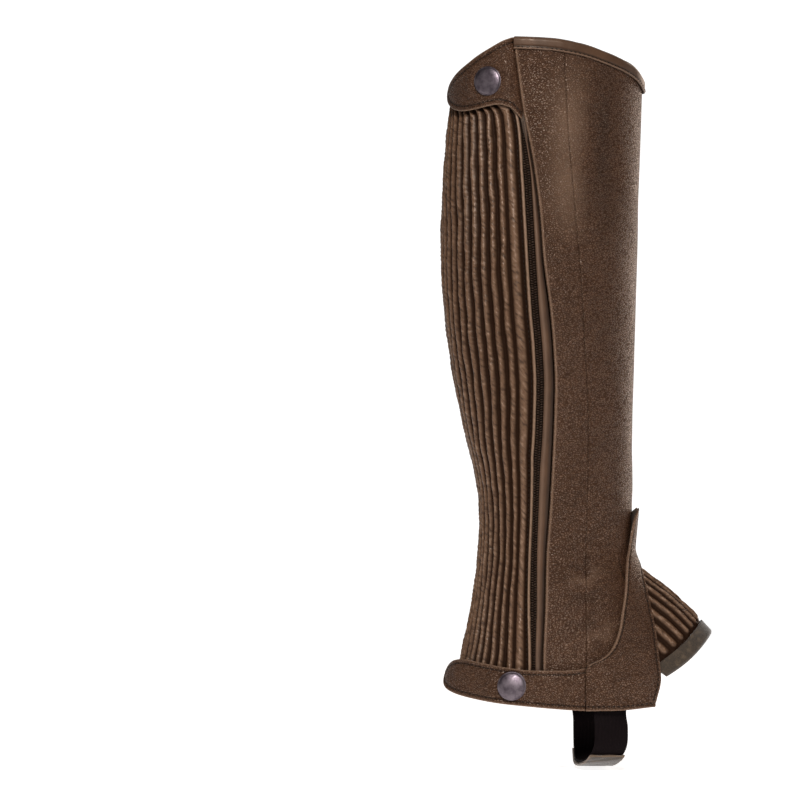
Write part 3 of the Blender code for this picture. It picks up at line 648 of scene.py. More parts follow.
@dataclass(frozen=True)
class PebbledLeather:
    """Soft full-grain leather with a fine pebble."""

    name: str = "pebbled_leather"
    slot: str = "pebbled_leather"
    base: Colour = tone(84, 56, 38)
    dull: Colour = tone(70, 45, 30)
    crease: Colour = tone(26, 15, 9)
    # lighter colour for burnished edges, and for painted highlights on turned edges and crease
    # ridges
    worn_and_sheen: Colour = tone(132, 104, 84)
    # colour of the painted shade in seams, stitch troughs and crease troughs
    painted_shade: Colour = tone(22, 12, 7)
    pebble: float = 1.65  # width of one pebble
    depth: float = 0.6
    roughness: float = 0.32

    def material(self) -> bpy.types.Material:
        """Build the leather.

        Returns:
            The material.
        """
        shader = Shader(self.name)
        bent = shader.jitter(shader.place, 230.0, 0.0022)
        flowing = shader.jitter(bent, 22.0, 0.009)
        drawn = shader.scaled(flowing, (1.0, 1.0, 1.6), 16.0, "Y")
        pebbles = 1.0 / (self.pebble * MM)
        domes = shader.stretch(shader.cells(drawn, pebbles), 0.0, 0.32)
        small = shader.stretch(shader.cells(bent, 2.4 * pebbles), 0.0, 0.5)
        pulled = shader.scaled(flowing, (0.42, 0.42, 1.5), 22.0, "Y")
        wrinkle = shader.stretch(shader.noise(pulled, 380.0, 2.0), 0.3, 0.7)
        patchy = shader.stretch(shader.noise(shader.place, 30.0, 3.0), 0.35, 0.65)
        pulls = shader.math("MULTIPLY", wrinkle, patchy)
        grain = shader.sum((domes, 0.6), (small, 0.14), (pulls, 0.38))
        firmness = shader.stretch(patchy, 0.0, 1.0, 0.6, 1.0)
        bumps = shader.relief(shader.math("MULTIPLY", grain, firmness), self.depth * MM)
        cloudy = shader.noise(shader.place, 16.0, 4.0)
        each = shader.cell_values(drawn, pebbles)
        shade = shader.sum((cloudy, 0.4), (each, 0.4), (wrinkle, 0.45))
        tinted = shader.blend(shader.stretch(shade, 0.3, 0.9), self.dull, self.base)
        skin = shader.sum((domes, 0.75), (small, 0.25))
        sunk = shader.stretch(skin, 0.0, 0.6, 0.62, 0.0)
        grained = shader.blend(sunk, tinted, self.crease)
        # burnished edges, painted highlights and painted shade, from the mesh's layers
        lightened_and_shaded = shader.with_wear_and_painted_light(grained, self.worn_and_sheen, 0.85, self.painted_shade)
        rough = shader.stretch(skin, 0.1, 0.9, self.roughness + 0.3, self.roughness)
        shader.dress(lightened_and_shaded, rough, bumps)
        shader.shine(shader.stretch(skin, 0.1, 0.8, 0.15, 0.9), GLAZE)
        return shader.material


@dataclass(frozen=True)
class SmoothLeather:
    """Thin glazed leather for bindings and the bead along the zip."""

    name: str = "smooth_leather"
    slot: str = "smooth_leather"
    base: Colour = tone(78, 54, 38)
    dark: Colour = tone(60, 40, 27)
    # lighter colour for painted highlights on the beads, and for a binding's fold lighter from use
    worn_and_sheen: Colour = tone(120, 95, 78)
    roughness: float = 0.38

    def material(self) -> bpy.types.Material:
        """Build the leather.

        Returns:
            The material.
        """
        shader = Shader(self.name)
        pores = shader.noise(shader.place, 1500.0, 2.0)
        drawn = shader.scaled(shader.place, (1.0, 1.0, 0.35))
        folds = shader.noise(drawn, 330.0, 3.0)
        bumps = shader.relief(shader.sum((pores, 0.35), (folds, 0.65)), 0.12 * MM)
        cloudy = shader.stretch(shader.noise(shader.place, 60.0, 4.0), 0.3, 0.7)
        tinted = shader.blend(cloudy, self.dark, self.base)
        # painted highlights, lighter folds and painted shade, from the mesh's layers
        lightened_and_shaded = shader.with_wear_and_painted_light(tinted, self.worn_and_sheen, 0.8, PAINTED_SHADE_DARK)
        rough = shader.stretch(folds, 0.3, 0.7, self.roughness, self.roughness + 0.14)
        shader.dress(lightened_and_shaded, rough, bumps)
        shader.shine(0.45, GLAZE)
        return shader.material


@dataclass(frozen=True)
class PleatedLeather:
    """Stretch leather drawn up on elastic, with slanting puckers over its ribs."""

    name: str = "pleated_leather"
    slot: str = "ribbed_leather"
    base: Colour = tone(98, 71, 52)
    # colour of the painted shade in the rib valleys and pucker creases
    valley: Colour = tone(36, 22, 14)
    # lighter colour for painted highlights on the crests and along the turned edge
    worn_and_sheen: Colour = tone(146, 119, 98)
    slant: float = -42.0
    roughness: float = 0.36

    def material(self) -> bpy.types.Material:
        """Build the leather.

        Returns:
            The material.
        """
        shader = Shader(self.name)
        strokes = shader.scaled(shader.cut(), (0.34, 1.0, 1.0), self.slant)
        pucker = shader.noise(strokes, 560.0, 2.0, 0.6)
        fine = shader.noise(shader.cut(), 2300.0, 2.0)
        bumps = shader.relief(shader.sum((pucker, 0.8), (fine, 0.2)), 0.5 * MM)
        crest = shader.attribute("crest")
        # painted shade: darker in the rib valleys, by the mesh's crest layer
        risen = shader.blend(shader.stretch(crest, 0.15, 1.0), self.valley, self.base)
        high, tight = shader.stretch(crest, 0.5, 1.0), shader.stretch(pucker, 0.5, 0.7)
        # painted highlight on the puckers along the crests
        lit = shader.math("MULTIPLY", tight, high)
        # painted shade in the pucker creases
        creased = shader.blend(shader.stretch(pucker, 0.32, 0.5, 0.7, 0.0), risen, self.valley)
        lightened = shader.blend(shader.math("MULTIPLY", lit, 0.55), creased, self.worn_and_sheen)
        lightened_and_shaded = shader.with_wear_and_painted_light(lightened, self.worn_and_sheen, 0.8, PAINTED_SHADE_DARK)
        shader.dress(lightened_and_shaded, self.roughness, bumps)
        shader.shine(shader.stretch(crest, 0.2, 0.9, 0.03, 0.5), GLAZE)
        return shader.material


@dataclass(frozen=True)
class Suede:
    """Leather with its flesh side out."""

    name: str = "suede"
    slot: str = "suede"
    base: Colour = tone(62, 48, 32)
    light: Colour = tone(88, 71, 52)
    dark: Colour = tone(36, 26, 17)
    raw_edge: Colour = tone(118, 96, 76)
    # colour of the painted shade in the pad's fold
    painted_shade: Colour = tone(26, 18, 12)

    def material(self) -> bpy.types.Material:
        """Build the suede.

        Returns:
            The material.
        """
        shader = Shader(self.name)
        nap = shader.noise(shader.place, 1900.0, 4.0, 0.7)
        cloud = shader.noise(shader.place, 260.0, 3.0)
        tinted = shader.blend(shader.stretch(nap, 0.3, 0.7), self.dark, self.base)
        brushed = shader.blend(shader.stretch(cloud, 0.45, 0.75, 0.0, 0.6), tinted, self.light)
        # raw edges lighter, and painted shade in the pad's fold
        lightened_and_shaded = shader.with_wear_and_painted_light(brushed, self.raw_edge, 1.0, self.painted_shade)
        shader.dress(lightened_and_shaded, 0.92, shader.relief(nap, 0.22 * MM))
        shader.surface.inputs["Sheen Weight"].default_value = 0.35
        shader.surface.inputs["Sheen Roughness"].default_value = 0.5
        return shader.material


@dataclass(frozen=True)
class Mottled:
    """A plain finish in two tones with a fine bump, such as a flesh side, thread or a tooth."""

    name: str
    slot: str
    base: Colour
    light: Colour
    scale: float  # of the mottling
    detail: float
    bump: float
    roughness: float
    fineness: float = 0.5  # how rough the mottling itself is
    low: float = 0.35  # where the base tone ends
    shine: float | None = None

    def material(self) -> bpy.types.Material:
        """Build the finish.

        Returns:
            The material.
        """
        shader = Shader(self.name)
        mottle = shader.noise(shader.place, self.scale, self.detail, self.fineness)
        tinted = shader.blend(shader.stretch(mottle, self.low, 0.7), self.base, self.light)
        shader.dress(tinted, self.roughness, shader.relief(mottle, self.bump * MM))
        if self.shine is not None:
            shader.shine(self.shine, GLAZE)
        return shader.material


@dataclass(frozen=True)
class Elastic:
    """Woven black elastic with fine ribs along its length."""

    name: str = "black_elastic"
    slot: str = "elastic"
    base: Colour = tone(9, 6, 8)
    light: Colour = tone(24, 17, 19)
    rib: float = 0.85
    pick: float = 0.6

    def material(self) -> bpy.types.Material:
        """Build the elastic.

        Returns:
            The material.
        """
        shader = Shader(self.name)
        split = shader.add("ShaderNodeSeparateXYZ")
        shader.plug(shader.cut(), split.inputs[0])
        ribs = self.wave(shader, split.outputs[0], self.rib)
        picks = self.wave(shader, split.outputs[1], self.pick)
        weave = shader.math("MULTIPLY", ribs, shader.sum((picks, 0.6), (1.0, 0.4)))
        fuzz = shader.noise(shader.place, 2600.0, 3.0, 0.7)
        height = shader.math("ADD", weave, shader.math("MULTIPLY", fuzz, 0.5))
        tinted = shader.blend(shader.stretch(height, 0.3, 1.3), self.base, self.light)
        shader.dress(tinted, 0.9, shader.relief(height, 0.2 * MM))
        shader.shine(0.08, GLAZE)
        return shader.material

    @staticmethod
    def wave(shader: Shader, along, length: float):
        """Rounded ribs across a coordinate, one in each length.

        Args:
            shader: The material being built.
            along: Coordinate in metres.
            length: Distance from rib to rib.

        Returns:
            Heights from 0 to 1.
        """
        turn = shader.math("MULTIPLY", along, 2.0 * math.pi / (length * MM))
        return shader.sum((shader.math("SINE", turn), 0.5), (1.0, 0.5))


@dataclass(frozen=True)
class ZipTape:
    """Herringbone tape that the teeth are sewn to."""

    name: str = "zip_tape"
    slot: str = "zip"
    base: Colour = tone(26, 17, 12)
    light: Colour = tone(46, 33, 24)

    def material(self) -> bpy.types.Material:
        """Build the tape.

        Returns:
            The material.
        """
        shader = Shader(self.name)
        slanted = shader.scaled(shader.cut(), (1.0, 1.0, 1.0), 45.0)
        weave = shader.add("ShaderNodeTexChecker")
        shader.plug(slanted, weave.inputs["Vector"])
        weave.inputs["Scale"].default_value = 1.0 / (0.45 * MM)
        fibre = shader.noise(shader.place, 2200.0, 2.0)
        height = shader.math("ADD", weave.outputs["Fac"], fibre)
        tinted = shader.blend(shader.stretch(height, 0.3, 1.5), self.base, self.light)
        shader.dress(tinted, 0.85, shader.relief(height, 0.1 * MM))
        shader.shine(0.15, GLAZE)
        return shader.material


@dataclass(frozen=True)
class Pewter:
    """Dark plated metal with a soft polish."""

    name: str = "pewter"
    slot: str = "pewter"
    base: Colour = tone(118, 107, 112)
    dark: Colour = tone(84, 74, 80)
    roughness: float = 0.40

    def material(self) -> bpy.types.Material:
        """Build the metal.

        Returns:
            The material.
        """
        shader = Shader(self.name)
        cloud = shader.noise(shader.place, 240.0, 4.0, 0.6)
        speck = shader.noise(shader.place, 3000.0, 2.0)
        tinted = shader.blend(shader.stretch(cloud, 0.3, 0.7), self.dark, self.base)
        scratched = shader.scaled(shader.place, (1.0, 1.0, 0.06), 0.0)
        lines = shader.noise(scratched, 2400.0, 2.0)
        rough = shader.stretch(lines, 0.3, 0.75, self.roughness - 0.05, self.roughness + 0.14)
        shader.dress(tinted, rough, shader.relief(speck, 0.012 * MM))
        shader.surface.inputs["Metallic"].default_value = 1.0
        return shader.material


class Materials:
    """The finishes in use, each built once."""

    def __init__(self) -> None:
        """Start with none built."""
        self.built: dict[str, bpy.types.Material] = {}

    def of(self, finish) -> bpy.types.Material:
        """The material of a finish."""
        if finish.name not in self.built:
            self.built[finish.name] = finish.material()
        return self.built[finish.name]


MATERIALS = Materials()
PEBBLED = PebbledLeather()
SMOOTH = SmoothLeather()
PLEATED = PleatedLeather()
SUEDE = Suede()
FLESH = Mottled(
    "flesh_side", "suede", tone(58, 44, 34), tone(80, 63, 50), 1400.0, 4.0, 0.15, 0.88, 0.65, 0.3
)
CUT_EDGE = replace(FLESH, name="cut_edge", base=tone(70, 52, 40), light=tone(104, 82, 67))
ELASTIC = Elastic()
THREAD = Mottled(
    "thread", "zip", tone(13, 8, 5), tone(32, 21, 15), 2600.0, 1.0, 0.08, 0.5, shine=0.25
)
TEETH = Mottled(
    "zip_teeth", "zip", tone(30, 19, 13), tone(54, 38, 28), 900.0, 3.0, 0.05, 0.45, shine=0.25
)
TAPE = ZipTape()
PEWTER = Pewter()


# ---- Grids, edges and stitches ----


class EdgeForm(Enum):
    """How an edge of a piece of leather is finished."""

    HIDDEN = "runs on under another piece"
    CUT = "cut and burnished"
    TURNED = "folded over and raised"
    SEAM = "sewn inside and rolled in"


@dataclass(frozen=True)
class Edge:
    """One edge of a piece: its form, and the stitch row along it, if any."""

    form: EdgeForm = EdgeForm.HIDDEN
    stitch: float = 0.0  # the row's distance from the edge, 0 for none
    start: float = 0.0  # share of the edge where the row starts

    def relief(self, distance: Array) -> Array:
        """The edge's form, as a distance out, by distance from it."""
        if self.form is EdgeForm.CUT:
            return -0.45 * round_over(distance, 0.7) + 0.14 * bell(distance - 1.0, 0.7)
        if self.form is EdgeForm.TURNED:
            return -0.9 * round_over(distance, 1.2) + 0.42 * bell(distance - 1.1, 0.9)
        if self.form is EdgeForm.SEAM:
            return -0.40 * bell(distance, 0.5) + 0.08 * bell(distance - 2.0, 1.1)
        return np.zeros_like(distance)

    def wear(self, distance: Array) -> Array:
        """How much lighter the edge is, from 0 to 1: a cut edge is burnished lighter, a turned edge
        gets a painted highlight along its raised bead.
        """
        if self.form is EdgeForm.CUT:
            return 0.9 * bell(distance, 0.7)
        # painted highlight along the raised bead of a turned edge
        if self.form is EdgeForm.TURNED:
            return 0.8 * bell(distance - 0.9, 0.8)
        return np.zeros_like(distance)

    def painted_shade(self, distance: Array) -> Array:
        """How much painted shade darkens the leather in a seam's groove, from 0 to 1."""
        # painted shade in the seam's groove
        if self.form is EdgeForm.SEAM:
            return 0.25 * bell(distance, 0.35)
        return np.zeros_like(distance)


HIDDEN = Edge()
NARROWEST_CUT = 10.01  # a narrower strip is cut this wide, and what is over is tucked under
STITCH_PITCH = 3.0
STITCH_LENGTH = 2.0
STITCH_RADIUS = 0.36
STITCH_LIFT = 0.35  # share of a stitch's radius that its middle stands off the leather
STEP_LOOK = 0.4  # a line's direction is read this far ahead and behind
TROUGH_DEPTH = 0.45
TROUGH_WIDTH = 0.7
ROW_PAINTED_SHADE = 0.7  # how much painted shade darkens a stitch row's trough
RIDGE_PAINTED_SHEEN = 0.65  # how much a painted highlight lightens the leather along a crease's ridge, for each millimetre
TROUGH_PAINTED_SHADE = 0.5  # how much painted shade darkens a crease's trough, for each millimetre


def round_over(distance: Array, radius: float) -> Array:
    """1 at an edge, falling along a quarter circle to 0 at the radius."""
    share = 1.0 - np.clip(distance / radius, 0.0, 1.0)
    return 1.0 - np.sqrt(1.0 - share * share)


EDGE_LINES = (0.0, 0.16, 0.4, 0.75, 1.15, 1.6, 2.1, 2.6, 3.1, 3.7, 4.5)  # distances from an edge
EDGE_SHARE = 0.45  # the close lines take up at most this share of a piece from each edge


def grid_lines(length: float, step: float) -> Array:
    """Shares from 0 to 1 where the lines of a grid lie, close together at its edges.

    Args:
        length: Real distance from edge to edge.
        step: Distance between lines away from the edges.

    Returns:
        The shares in order.
    """
    low = np.array([line for line in EDGE_LINES if line < length * EDGE_SHARE])
    high = length - low[::-1]
    middle = np.linspace(low[-1], high[0], max(2, round((high[0] - low[-1]) / step) + 1))
    return np.concatenate((low[:-1], middle, high[1:])) / length


def run_lengths(points: Array, axis: int) -> tuple[Array, Array]:
    """Distances along the lines of a grid from its first and from its last edge.

    Args:
        points: The grid's points, [u, v, xyz].
        axis: 0 to run along u, 1 to run along v.

    Returns:
        The distance of each point from the first edge, and from the last.
    """
    steps = np.linalg.norm(np.diff(points, axis=axis), axis=-1)
    pad = [(0, 0), (0, 0)]
    pad[axis] = (1, 0)
    first = np.pad(np.cumsum(steps, axis=axis), pad)
    whole = np.take(first, [-1], axis=axis)
    return first, whole - first


def grid_area(points: Array) -> float:
    """Area of a grid's surface."""
    first = np.cross(points[1:, :-1] - points[:-1, :-1], points[:-1, 1:] - points[:-1, :-1])
    second = np.cross(points[1:, :-1] - points[1:, 1:], points[:-1, 1:] - points[1:, 1:])
    return float(np.linalg.norm(first, axis=-1).sum() + np.linalg.norm(second, axis=-1).sum()) / 2.0


def grid_normals(points: Array, outward: Array) -> Array:
    """Directions straight out of a grid's own surface, on the side of a rough outward direction."""
    along_u, along_v = np.gradient(points, axis=0), np.gradient(points, axis=1)
    normal = unit(np.cross(along_u, along_v))
    facing = np.sign(np.sum(normal * outward, axis=-1, keepdims=True))
    return normal * np.where(facing == 0.0, 1.0, facing)


def outline_distance(points: Array, outline: Array) -> Array:
    """Distance of every point of a grid from a line of points.

    Args:
        points: The grid's points, [u, v, xyz].
        outline: The line's points in order.

    Returns:
        The distances, [u, v].
    """
    flat = points.reshape(-1, 3)
    distances = np.full(len(flat), 1e9)
    for start, end in zip(outline[:-1], outline[1:]):
        run = end - start
        share = np.clip((flat - start) @ run / max(run @ run, 1e-12), 0.0, 1.0)
        beside = flat - start - share[:, None] * run
        distances = np.minimum(distances, np.linalg.norm(beside, axis=1))
    return distances.reshape(points.shape[:2])


def even_steps(line: Array, pitch: float) -> tuple[Array, Array]:
    """Points at even steps along a line, with the line's direction there.

    Args:
        line: The line's points in order.
        pitch: Distance from step to step.

    Returns:
        The points and their directions. Both are empty where the line is shorter than a step.
    """
    lengths = np.linalg.norm(np.diff(line, axis=0), axis=1)
    along = np.concatenate(([0.0], np.cumsum(lengths)))
    count = int(along[-1] / pitch)
    if count < 1:
        return np.zeros((0, 3)), np.zeros((0, 3))
    places = (np.arange(count) + 0.5) * along[-1] / count
    behind, points, ahead = (
        np.stack([np.interp(places + shift, along, line[:, k]) for k in range(3)], axis=1)
        for shift in (-STEP_LOOK, 0.0, STEP_LOOK)
    )
    return points, unit(ahead - behind)


def stamped(shape: bmesh.types.BMesh, places: Sequence[Matrix]) -> bmesh.types.BMesh:
    """Copies of one small shape.

    Args:
        shape: The shape. It is freed.
        places: Where each copy goes, in millimetres.

    Returns:
        All the copies, in metres.
    """
    mould = bpy.data.meshes.new("mould")
    shape.to_mesh(mould)
    shape.free()
    bm = bmesh.new()
    shrink = Matrix.Scale(MM, 4)
    for place in places:
        before = len(bm.verts)
        bm.from_mesh(mould)
        bm.verts.ensure_lookup_table()
        matrix = shrink @ place
        for vert in bm.verts[before:]:
            vert.co = matrix @ vert.co
    bpy.data.meshes.remove(mould)
    return bm


class StitchBook:
    """Collects the stitches of one piece and sews them as one mesh."""

    def __init__(self, name: str) -> None:
        """Start an empty row, for a thread's object of this name."""
        self.name = name
        self.places: list[Matrix] = []

    def sew(self, line: Array, normals: Array, pitch: float = STITCH_PITCH) -> None:
        """Lay stitches along a line.

        Args:
            line: Points of the row on the leather.
            normals: Directions out of the leather at those points.
            pitch: Distance from stitch to stitch.
        """
        points, runs = even_steps(line, pitch)
        for point, run in zip(points, runs):
            near = int(np.argmin(np.linalg.norm(line - point, axis=1)))
            out = Vector(normals[near])
            along = (Vector(run) - out * out.dot(Vector(run))).normalized()
            side = out.cross(along)
            turn = Matrix((along, side, out)).transposed().to_4x4()
            size = Matrix.Diagonal((STITCH_LENGTH / 2, STITCH_RADIUS, STITCH_RADIUS, 1.0))
            lifted = Vector(point) + out * (STITCH_RADIUS * STITCH_LIFT)
            self.places.append(Matrix.Translation(lifted) @ turn @ size)

    def make(self) -> bpy.types.Object | None:
        """Make the stitches' mesh.

        Returns:
            The object, or None where nothing was sewn.
        """
        if not self.places:
            return None
        stitch = bmesh.new()
        bmesh.ops.create_uvsphere(stitch, u_segments=6, v_segments=4, radius=1.0)
        return finish_mesh(self.name, stamped(stitch, self.places), THREAD)


def finish_mesh(name: str, bm: bmesh.types.BMesh, finish) -> bpy.types.Object:
    """Turn a bmesh into a dressed piece that rides on the chap.

    Args:
        name: The piece's name.
        bm: Its shape in metres. It is freed.
        finish: Its finish.

    Returns:
        The piece.
    """
    mesh = bpy.data.meshes.new(name)
    bm.to_mesh(mesh)
    bm.free()
    piece = bpy.data.objects.new(name, mesh)
    bpy.context.scene.collection.objects.link(piece)
    mesh.materials.append(MATERIALS.of(finish))
    mesh.shade_smooth()
    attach(piece, BODY)
    log.info("%s: %d faces", name, len(mesh.polygons))
    return piece


@dataclass
class Sheet:
    """A cut piece of leather or cloth, laid as a fine grid with the thickness of its hide.

    u runs from the piece's first seam to its last and v from its lower edge to its upper one.
    """

    name: str
    node: str
    finish: object
    thickness: float
    first: Edge = HIDDEN
    last: Edge = HIDDEN
    lower: Edge = HIDDEN
    upper: Edge = HIDDEN
    step: float = 1.7
    rim_only: bool = False
    gathered: bool = False
    back: object = None  # finish of the inner face, the hide's flesh side where not given
    rim: object = None  # finish of the cut edge
    rests_on: tuple[str, ...] = ()
    held: str = "stretched"
    width: float = field(init=False, default=0.0)  # usual run across the plain piece
    length: float = field(init=False, default=0.0)  # longest run along it
    points: Array = field(init=False, repr=False)
    facing: Array = field(init=False, repr=False)
    normals: Array = field(init=False, repr=False)
    layers: dict = field(init=False, repr=False, default_factory=dict)

    def base(self, u: Array, v: Array) -> tuple[Array, Array]:
        """Where the plain piece lies.

        Args:
            u: Shares along the width, as a grid.
            v: Shares along the length, as a grid.

        Returns:
            The points and the directions out of the piece.
        """
        raise NotImplementedError

    def own_relief(self, u: Array, v: Array, points: Array) -> Array:
        """What else stands out of the piece. Plain pieces have nothing."""
        return np.zeros(u.shape)

    def lines(self) -> tuple[Array, Array]:
        """The shares of u and v that the grid's lines lie at."""
        return grid_lines(self.width, self.step), grid_lines(self.length, self.step)

    def edges(self, points: Array) -> list[tuple[Edge, Array]]:
        """The piece's edges, with the distance of each point from them."""
        from_first, from_last = run_lengths(points, 0)
        from_lower, from_upper = run_lengths(points, 1)
        return [
            (self.first, from_first),
            (self.last, from_last),
            (self.lower, from_lower),
            (self.upper, from_upper),
        ]

    def stitched(self, edges: list[tuple[Edge, Array]]) -> list[Array]:
        """How near each point is to each stitch row, as a distance."""
        return [np.abs(distance - edge.stitch) for edge, distance in edges if edge.stitch > 0.0]

    def measure(self) -> None:
        """Find the plain piece's width and length."""
        rough = np.linspace(0.0, 1.0, 61)
        points, _ = self.base(*np.meshgrid(rough, rough, indexing="ij"))
        self.length = float(run_lengths(points, 1)[0].max())
        usual = float(np.median(run_lengths(points, 0)[0][-1]))
        self.width = max(usual, grid_area(points) / self.length)

    def folded(self, u: Array, v: Array) -> Array:
        """How deep a crease lies at each place, below 0 on a ridge."""
        return np.zeros(u.shape)

    def flat_cut(self, plain: Array) -> tuple[tuple[float, float], float]:
        """The cut's size laid flat, with what its ribs take up added to its width.

        Args:
            plain: The points of the plain piece.

        Returns:
            Width and length, then area, in metres.
        """
        area = grid_area(plain)
        drawn_up = max(1.0, grid_area(self.points) / area) if self.gathered else 1.0
        flat = (max(self.width * drawn_up, NARROWEST_CUT) * MM, self.length * MM)
        return flat, min(area * drawn_up * MM * MM, flat[0] * flat[1])

    def lay(self) -> bpy.types.Object:
        """Make the piece and its stitches.

        Returns:
            The piece.
        """
        self.measure()
        u_lines, v_lines = self.lines()
        u, v = np.meshgrid(u_lines, v_lines, indexing="ij")
        points, outward = self.base(u, v)
        edges = self.edges(points)
        relief = self.own_relief(u, v, points)
        wear, painted_shade = np.zeros(u.shape), np.zeros(u.shape)
        for edge, distance in edges:
            relief = relief + edge.relief(distance)
            wear = np.maximum(wear, edge.wear(distance))
            painted_shade = np.maximum(painted_shade, edge.painted_shade(distance))
        # painted shade in each stitch row's trough
        for distance in self.stitched(edges):
            relief = relief - TROUGH_DEPTH * bell(distance, TROUGH_WIDTH)
            painted_shade = np.maximum(painted_shade, ROW_PAINTED_SHADE * bell(distance, 0.5))
        folded = self.folded(u, v)
        # painted highlight along crease ridges and painted shade in crease troughs
        wear = np.maximum(wear, RIDGE_PAINTED_SHEEN * np.clip(-folded, 0.0, 1.0))
        painted_shade = np.maximum(painted_shade, TROUGH_PAINTED_SHADE * np.clip(folded, 0.0, 1.0))
        self.layers.setdefault("wear", wear)
        self.layers.setdefault("painted_shade", painted_shade)
        self.points = points + outward * relief[..., None]
        self.facing = outward
        self.normals = grid_normals(self.points, outward)
        flat = np.stack([run_lengths(points, 0)[0], run_lengths(points, 1)[0]], axis=-1)
        piece = self.build(flat, outward)
        thread = self.sew(edges)
        size, area = self.flat_cut(points)
        wide, long = size[0] / MM, size[1] / MM
        log.info("%s: cut %.0f by %.0f mm, %.0f cm2", self.name, wide, long, area * 1e4)
        return piece

    def build(self, flat: Array, outward: Array) -> bpy.types.Object:
        """Make the grid's mesh and give it the hide's thickness.

        Args:
            flat: Flat coordinates of each point, for the finish.
            outward: Rough directions out of the piece.

        Returns:
            The piece.
        """
        columns, rows = self.points.shape[0] - 1, self.points.shape[1] - 1
        bm = bmesh.new()
        bmesh.ops.create_grid(bm, x_segments=columns, y_segments=rows, size=0.5)
        corner = self.points[:-1, :-1]
        cross = np.cross(self.points[1:, :-1] - corner, self.points[:-1, 1:] - corner)
        if np.sum(cross * outward[:-1, :-1]) < 0.0:
            bmesh.ops.reverse_faces(bm, faces=bm.faces)
        piece = finish_mesh(self.name, bm, self.finish)
        mesh = piece.data
        places = np.empty(len(mesh.vertices) * 3, np.float32)
        mesh.vertices.foreach_get("co", places)
        places = places.reshape(-1, 3)
        i = np.rint((places[:, 0] + 0.5) * columns).astype(int)
        j = np.rint((places[:, 1] + 0.5) * rows).astype(int)
        mesh.vertices.foreach_set("co", (self.points[i, j] * MM).astype(np.float32).ravel())
        corners = np.empty(len(mesh.loops), np.int32)
        mesh.loops.foreach_get("vertex_index", corners)
        cut = mesh.uv_layers.new(name="Cut")
        cut.data.foreach_set("uv", (flat[i, j][corners] * MM).astype(np.float32).ravel())
        for name, values in self.layers.items():
            layer = mesh.attributes.new(name, "FLOAT", "POINT")
            layer.data.foreach_set("value", values[i, j].astype(np.float32))
        mesh.update()
        mesh.materials.append(MATERIALS.of(self.back or FLESH))
        mesh.materials.append(MATERIALS.of(self.rim or CUT_EDGE))
        hide = piece.modifiers.new("Hide", "SOLIDIFY")
        hide.thickness = self.thickness * MM
        hide.offset = -1.0
        hide.use_rim_only = self.rim_only
        hide.material_offset = 1
        hide.material_offset_rim = 2
        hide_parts(self.node)
        return piece

    def sew(self, edges: list[tuple[Edge, Array]]) -> bpy.types.Object | None:
        """Sew the stitch rows along the piece's edges.

        Args:
            edges: The edges, with the distance of each point from them.

        Returns:
            The thread, or None where the piece has no rows.
        """
        book = StitchBook(f"{self.name}_stitches")
        edges = edges[:4]
        for number, (edge, distance) in enumerate(edges):
            if edge.stitch > 0.0:
                self.sew_edge(book, number, edge, distance, edges)
        return book.make()

    def sew_edge(self, book, number: int, edge: Edge, distance: Array, edges) -> None:
        """Sew one row, at its distance from its edge and clear of the other edges.

        Args:
            book: Collects the stitches.
            number: 0 for the first edge, 1 the last, 2 the lower and 3 the upper.
            edge: The edge.
            distance: Distance of each point from it.
            edges: All edges, so that the row stops short of those that it meets.
        """
        across_u = number in (0, 1)
        lines = range(distance.shape[1] if across_u else distance.shape[0])
        chosen = []
        for line in lines:
            if line / (len(lines) - 1) < edge.start:
                continue
            row = distance[:, line] if across_u else distance[line, :]
            if row[0] < row[-1]:
                place = np.interp(edge.stitch, row, np.arange(len(row)))
            else:
                place = len(row) - 1 - np.interp(edge.stitch, row[::-1], np.arange(len(row)))
            spot = (place, line) if across_u else (line, place)
            met = [
                read_grid(other, spot)
                for k, (_, other) in enumerate(edges)
                if k // 2 != number // 2
            ]
            beyond = read_grid(edges[number ^ 1][1], spot)
            if min(met) >= edge.stitch * 0.98 and beyond > edge.stitch + 1.0:
                chosen.append(spot)
        if len(chosen) > 2:
            line = np.array([read_grid(self.points, spot) for spot in chosen])
            normals = unit(np.array([read_grid(self.normals, spot) for spot in chosen]))
            book.sew(line, normals)


def read_grid(values: Array, spot: tuple[float, float]):
    """A grid's value between its lines."""
    i, j = int(spot[0]), int(spot[1])
    i, j = min(i, values.shape[0] - 2), min(j, values.shape[1] - 2)
    s, t = spot[0] - i, spot[1] - j
    near = values[i, j] * (1 - s) + values[i + 1, j] * s
    far = values[i, j + 1] * (1 - s) + values[i + 1, j + 1] * s
    return near * (1 - t) + far * t


# ---- The shaft: front panel, side panel, calf patch and ribbed calf ----

BINDING_WALL = 1.0
FOLD_GAP = 0.6
FIRST_HEIGHTS = (-200.0, 60.0)  # heights that the search for a place on the leg starts from
SETTLE_ROUNDS = 7  # each round brings angle and height closer to agreeing


def panel_bottom(angle):
    """Lower edge of the panels, by angle."""
    return hem_edge(wrapped(angle)) + BINDING_WALL + FOLD_GAP


def panel_top(angle):
    """Upper edge of the panels, by angle."""
    return top_edge(wrapped(angle)) - BINDING_WALL - FOLD_GAP


